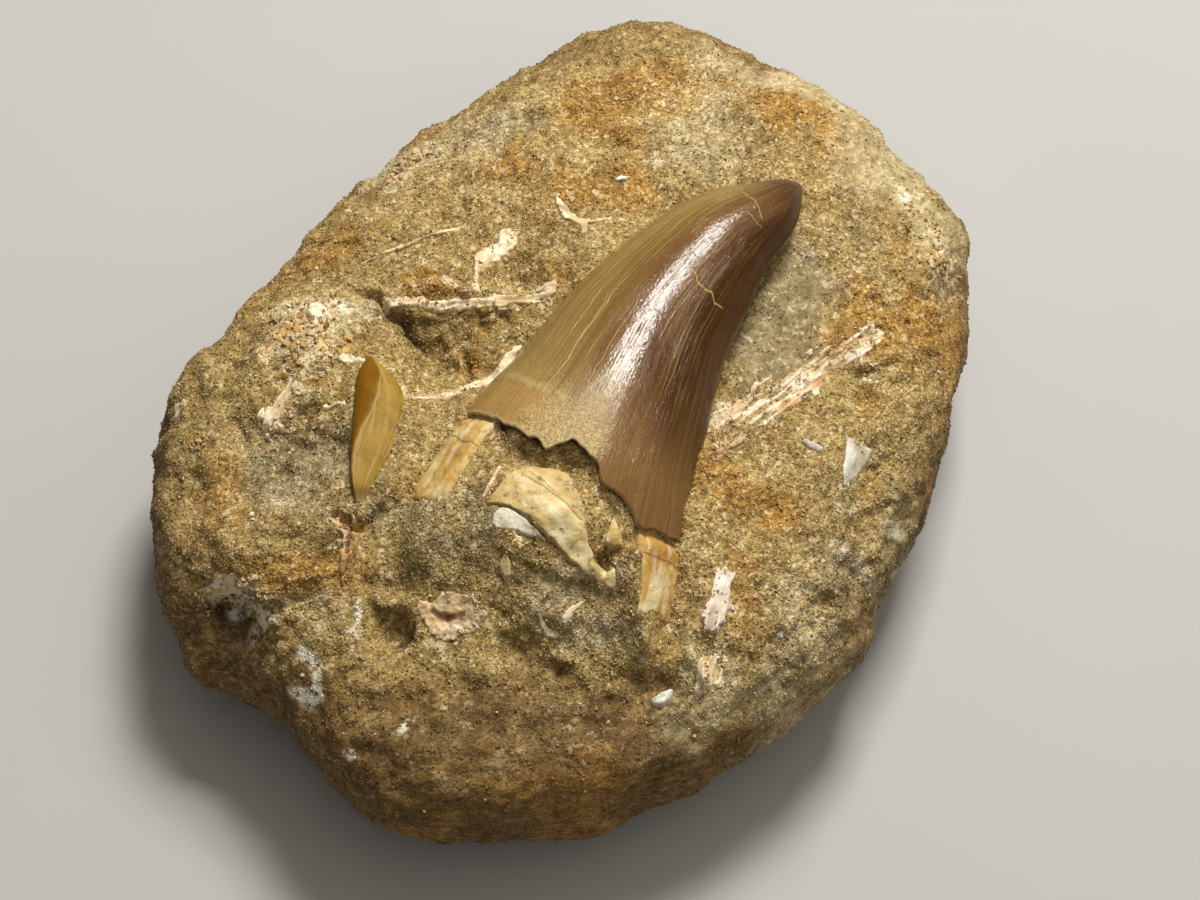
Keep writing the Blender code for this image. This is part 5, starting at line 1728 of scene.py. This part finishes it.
def fang_material():
    """Translucent amber enamel: a clear facet, and a dusty one with fine fibres."""
    constants = {"Specular IOR Level": 0.14, "Subsurface Weight": 0.1, "Subsurface Scale": 0.001}
    paint = Paint("amber_fang", constants)
    place = paint.place()
    facet = paint.number("facet")
    along = paint.number("along")
    across = paint.number("across")
    cloud = paint.noise(place, 0.0022, 4.0)
    fan = {"X": along * 2.2, "Y": across * 11.0 + along * 1.5}
    fanned = paint.node("ShaderNodeCombineXYZ", {}, fan)
    fibres = paint.noise(fanned, 1.0, 4.0, 0.7)
    clear = paint.mix(paint.step(cloud, 0.3, 0.7), (0.150, 0.062, 0.002), (0.195, 0.088, 0.003))
    dusty = paint.mix(paint.step(cloud, 0.35, 0.65), (0.235, 0.138, 0.020), (0.30, 0.19, 0.036))
    dusty = paint.mix(paint.step(fibres, 0.50, 0.62) * 0.5, dusty, (0.48, 0.37, 0.15))
    dark_fibres = paint.step(fibres, 0.46, 0.3) * paint.step(along, 0.45, 0.8)
    dusty = paint.mix(dark_fibres * 0.6, dusty, (0.20, 0.12, 0.035))
    root_end = paint.step(along + (cloud - 0.5) * 0.1, 0.90, 0.98)
    ridge = paint.step(abs(facet - 0.45), 0.25, 0.0) * paint.step(along, 0.02, 0.2)
    colour = paint.mix(facet, clear, dusty)
    colour = paint.mix(ridge * 0.35, colour, (0.55, 0.40, 0.12))
    colour = paint.mix(root_end * 0.8, colour, (0.40, 0.25, 0.11))
    height = fibres * 0.7 + paint.noise(place, 0.0005, 3.0) * 0.5
    roughness = 0.42 + facet * 0.14 + paint.noise(place, 0.0006, 3.0) * 0.12
    return paint.finish(colour, roughness, paint.bump(height, 0.00005))


def crumb_material():
    """Bits of shell: white, cream or stained orange."""
    paint = Paint("shell_crumbs", {"Specular IOR Level": 0.4})
    place = paint.place()
    tone = paint.number("tone") + paint.noise(place, 0.0003, 2.0) * 0.2 - 0.1
    colour = paint.ramp(
        tone,
        (0.0, (0.64, 0.56, 0.38)), (0.4, (0.50, 0.38, 0.18)),
        (0.75, (0.44, 0.26, 0.08)), (1.0, (0.36, 0.18, 0.05)),
    )
    dirt = paint.step(paint.number("shade"), 0.2, 0.9)
    colour = paint.mix(dirt * 0.6, colour, (0.30, 0.21, 0.10))
    roughness = 0.62 + paint.noise(place, 0.0005, 2.0) * 0.25
    return paint.finish(colour, roughness, paint.bump(paint.noise(place, 0.00014, 2.0), 0.00004))


def floor_material():
    """Plain pale paper with the faintest tooth."""
    paint = Paint("pale_floor", {"Specular IOR Level": 0.2})
    place = paint.place()
    colour = paint.mix(paint.noise(place, 0.05, 2.0), (0.40, 0.40, 0.395), (0.42, 0.42, 0.415))
    return paint.finish(colour, 0.9 + paint.noise(place, 0.004, 2.0) * 0.05)


# ---- The flat fossils' materials ----
RUST = (0.42, 0.20, 0.05)
# Each kind of dentine or bone: its three shades, the shade of its stains, and where it is unlike the rest.
DENTINES = {
    "pale_bone": (
        (0.48, 0.34, 0.15), (0.68, 0.56, 0.31), (0.80, 0.71, 0.47), RUST,
        {"gloss": 0.6, "dirt": 0.45, "fibrous": 0.5},
    ),
    "pinkish_shell": (
        (0.54, 0.36, 0.17), (0.74, 0.60, 0.37), (0.86, 0.76, 0.55), (0.52, 0.26, 0.09),
        {"gloss": 0.5, "dirt": 0.3, "fibrous": 0.4},
    ),
    "cream_dentine": (
        (0.50, 0.34, 0.11), (0.64, 0.51, 0.23), (0.74, 0.66, 0.40), (0.48, 0.30, 0.08),
        {"dirt": 0.3, "fibrous": 0.15},
    ),
    "orange_root": (
        (0.34, 0.17, 0.045), (0.50, 0.29, 0.08), (0.62, 0.44, 0.18), (0.40, 0.16, 0.03),
        {"dirt": 0.65},
    ),
    "pinkish_splinter": (
        (0.60, 0.46, 0.36), (0.76, 0.66, 0.55), (0.88, 0.83, 0.74), (0.56, 0.36, 0.26),
        {"gloss": 0.5, "dirt": 0.1, "fibrous": 0.4},
    ),
    "fibrous_bone": (
        (0.44, 0.26, 0.10), (0.62, 0.47, 0.28), (0.80, 0.70, 0.52), (0.46, 0.20, 0.05),
        {"gloss": 0.6, "dirt": 0.75, "fibrous": 0.6, "stained": 0.8},
    ),
    "grey_sliver": (
        (0.34, 0.32, 0.25), (0.44, 0.43, 0.36), (0.56, 0.56, 0.50), (0.40, 0.34, 0.24),
        {"gloss": 0.4, "dirt": 0.1},
    ),
    "pearly_tooth": (
        (0.54, 0.50, 0.38), (0.70, 0.70, 0.58), (0.84, 0.85, 0.77), (0.56, 0.44, 0.28),
        {"gloss": 0.3, "dirt": 0.0},
    ),
    "ochre_crust": (
        (0.46, 0.23, 0.05), (0.60, 0.38, 0.11), (0.82, 0.70, 0.42), (0.30, 0.12, 0.03),
        {"gloss": 0.6, "dirt": 0.5},
    ),
    "root_dentine": (
        (0.40, 0.20, 0.035), (0.54, 0.35, 0.09), (0.68, 0.54, 0.24), RUST,
        {"dirt": 0.15},
    ),
}
# The kind and the slot of each flat fossil that isn't plain pinkish shell.
MADE_OF = {
    "dentine_tongue": ("cream_dentine", "tooth_dentine"),
    "dentine_chip": ("root_dentine", "tooth_dentine"),
    "dentine_flake": ("pearly_tooth", "pale_bone"),
    "brown_bits": ("ochre_crust", "pale_bone"),
    "fang_root": ("orange_root", "tooth_dentine"),
    "bone_band": ("fibrous_bone", "tooth_dentine"),
    "bone_splinter": ("pinkish_splinter", "pale_bone"),
    "grey_sliver": ("grey_sliver", "pale_bone"),
    "ochre_crust": ("ochre_crust", "pale_bone"),
    "ochre_branch": ("ochre_crust", "pale_bone"),
    "shell_flake": ("pinkish_shell", "tooth_dentine"),
    "shark_tooth": ("pearly_tooth", "pearly_enamel"),
    "white_chip": ("pearly_tooth", "pearly_enamel"),
    "white_oval": ("pearly_tooth", "pearly_enamel"),
    "white_sliver": ("pearly_tooth", "pearly_enamel"),
    "small_oval": ("pearly_tooth", "pearly_enamel"),
    "fish_scale": ("cream_dentine", "pale_bone"),
    "spine_needle": ("pale_bone", "pale_bone"),
    "y_bone": ("pale_bone", "pale_bone"),
}


def dress_slabs(slabs):
    """Makes and dresses the flat fossils, and gives back the dentine of the tooth's root."""
    dentines = {}
    for name, (low, middle, high, patch, unlike) in DENTINES.items():
        dentines[name] = dentine_material(name, low, middle, high, patch, **unlike)
    for name in FLAT_FOSSILS:
        kind, slot = MADE_OF.get(name, ("pinkish_shell", "pale_bone"))
        dress(slabs.make(name), dentines[kind], slot, *([name] if name in SLABS else []))
    return dentines["root_dentine"]


# ---- Camera, floor and lights ----
def add_camera():
    data = bpy.data.cameras.new("camera")
    data.lens, data.sensor_width = LENS, SENSOR
    camera = bpy.data.objects.new("camera", data)
    rise = math.radians(CAMERA_RISE)
    back = Vector((0.0, -math.cos(rise), math.sin(rise)))
    camera.location = (Vector(CAMERA_AIM) + back * CAMERA_AWAY) * MM
    camera.rotation_euler = (math.pi / 2.0 - rise, 0.0, 0.0)
    bpy.context.scene.collection.objects.link(camera)
    bpy.context.scene.camera = camera


def add_light(name, direction, away, side, power, colour, mirrored=True):
    """A square soft light that faces the middle of the block, and shows in gloss where it is mirrored."""
    data = bpy.data.lights.new(name, "AREA")
    data.shape = "SQUARE"
    data.size = side * MM
    data.energy = power
    data.color = colour
    light = bpy.data.objects.new(name, data)
    towards = Vector(direction).normalized()
    light.location = (Vector(CAMERA_AIM) + towards * away) * MM
    light.rotation_euler = towards.to_track_quat("Z", "Y").to_euler()
    light.visible_glossy = mirrored
    bpy.context.scene.collection.objects.link(light)


def add_floor():
    bpy.ops.object.select_all(action="DESELECT")
    bpy.ops.mesh.primitive_plane_add(size=FLOOR_SIDE * MM)
    floor = bpy.context.object
    floor.name = "floor"
    floor.data.materials.append(floor_material())


def add_world():
    world = bpy.data.worlds.new("studio")
    world.use_nodes = True
    background = world.node_tree.nodes["Background"]
    background.inputs["Color"].default_value = (*STUDIO_COLOUR, 1.0)
    background.inputs["Strength"].default_value = STUDIO_STRENGTH
    bpy.context.scene.world = world


def main():
    add_camera()
    add_floor()
    add_world()
    add_light("key", *KEY)
    add_light("fill", *FILL, mirrored=False)
    bpy.context.scene.view_settings.view_transform = "Standard"
    stone = wrap_stone()
    slabs = Slabs(stone)
    crown = make_crown()
    root_left = make_root_strip("root_left", *LEFT_STRIP)
    root_right = make_root_strip("root_right", *RIGHT_STRIP)
    fang = make_fang(slabs)
    fossils = tree_of(crown, root_left, root_right, fang)
    break_up_stone(stone, fossils, slabs)
    dress(stone, stone_material(), "matrix_stone", "matrix_block")
    make_sand(stone, fossils, slabs, sand_material())
    make_crumbs(stone, fossils, slabs, crumb_material())
    dress(crown, enamel_material(), "tooth_enamel", "tooth_crown")
    root_dentine = dress_slabs(slabs)
    dress(root_left, root_dentine, "tooth_dentine", "tooth_base_left")
    dress(root_right, root_dentine, "tooth_dentine", "tooth_base_right")
    dress(fang, fang_material(), "amber_enamel", "fish_fang")


main()
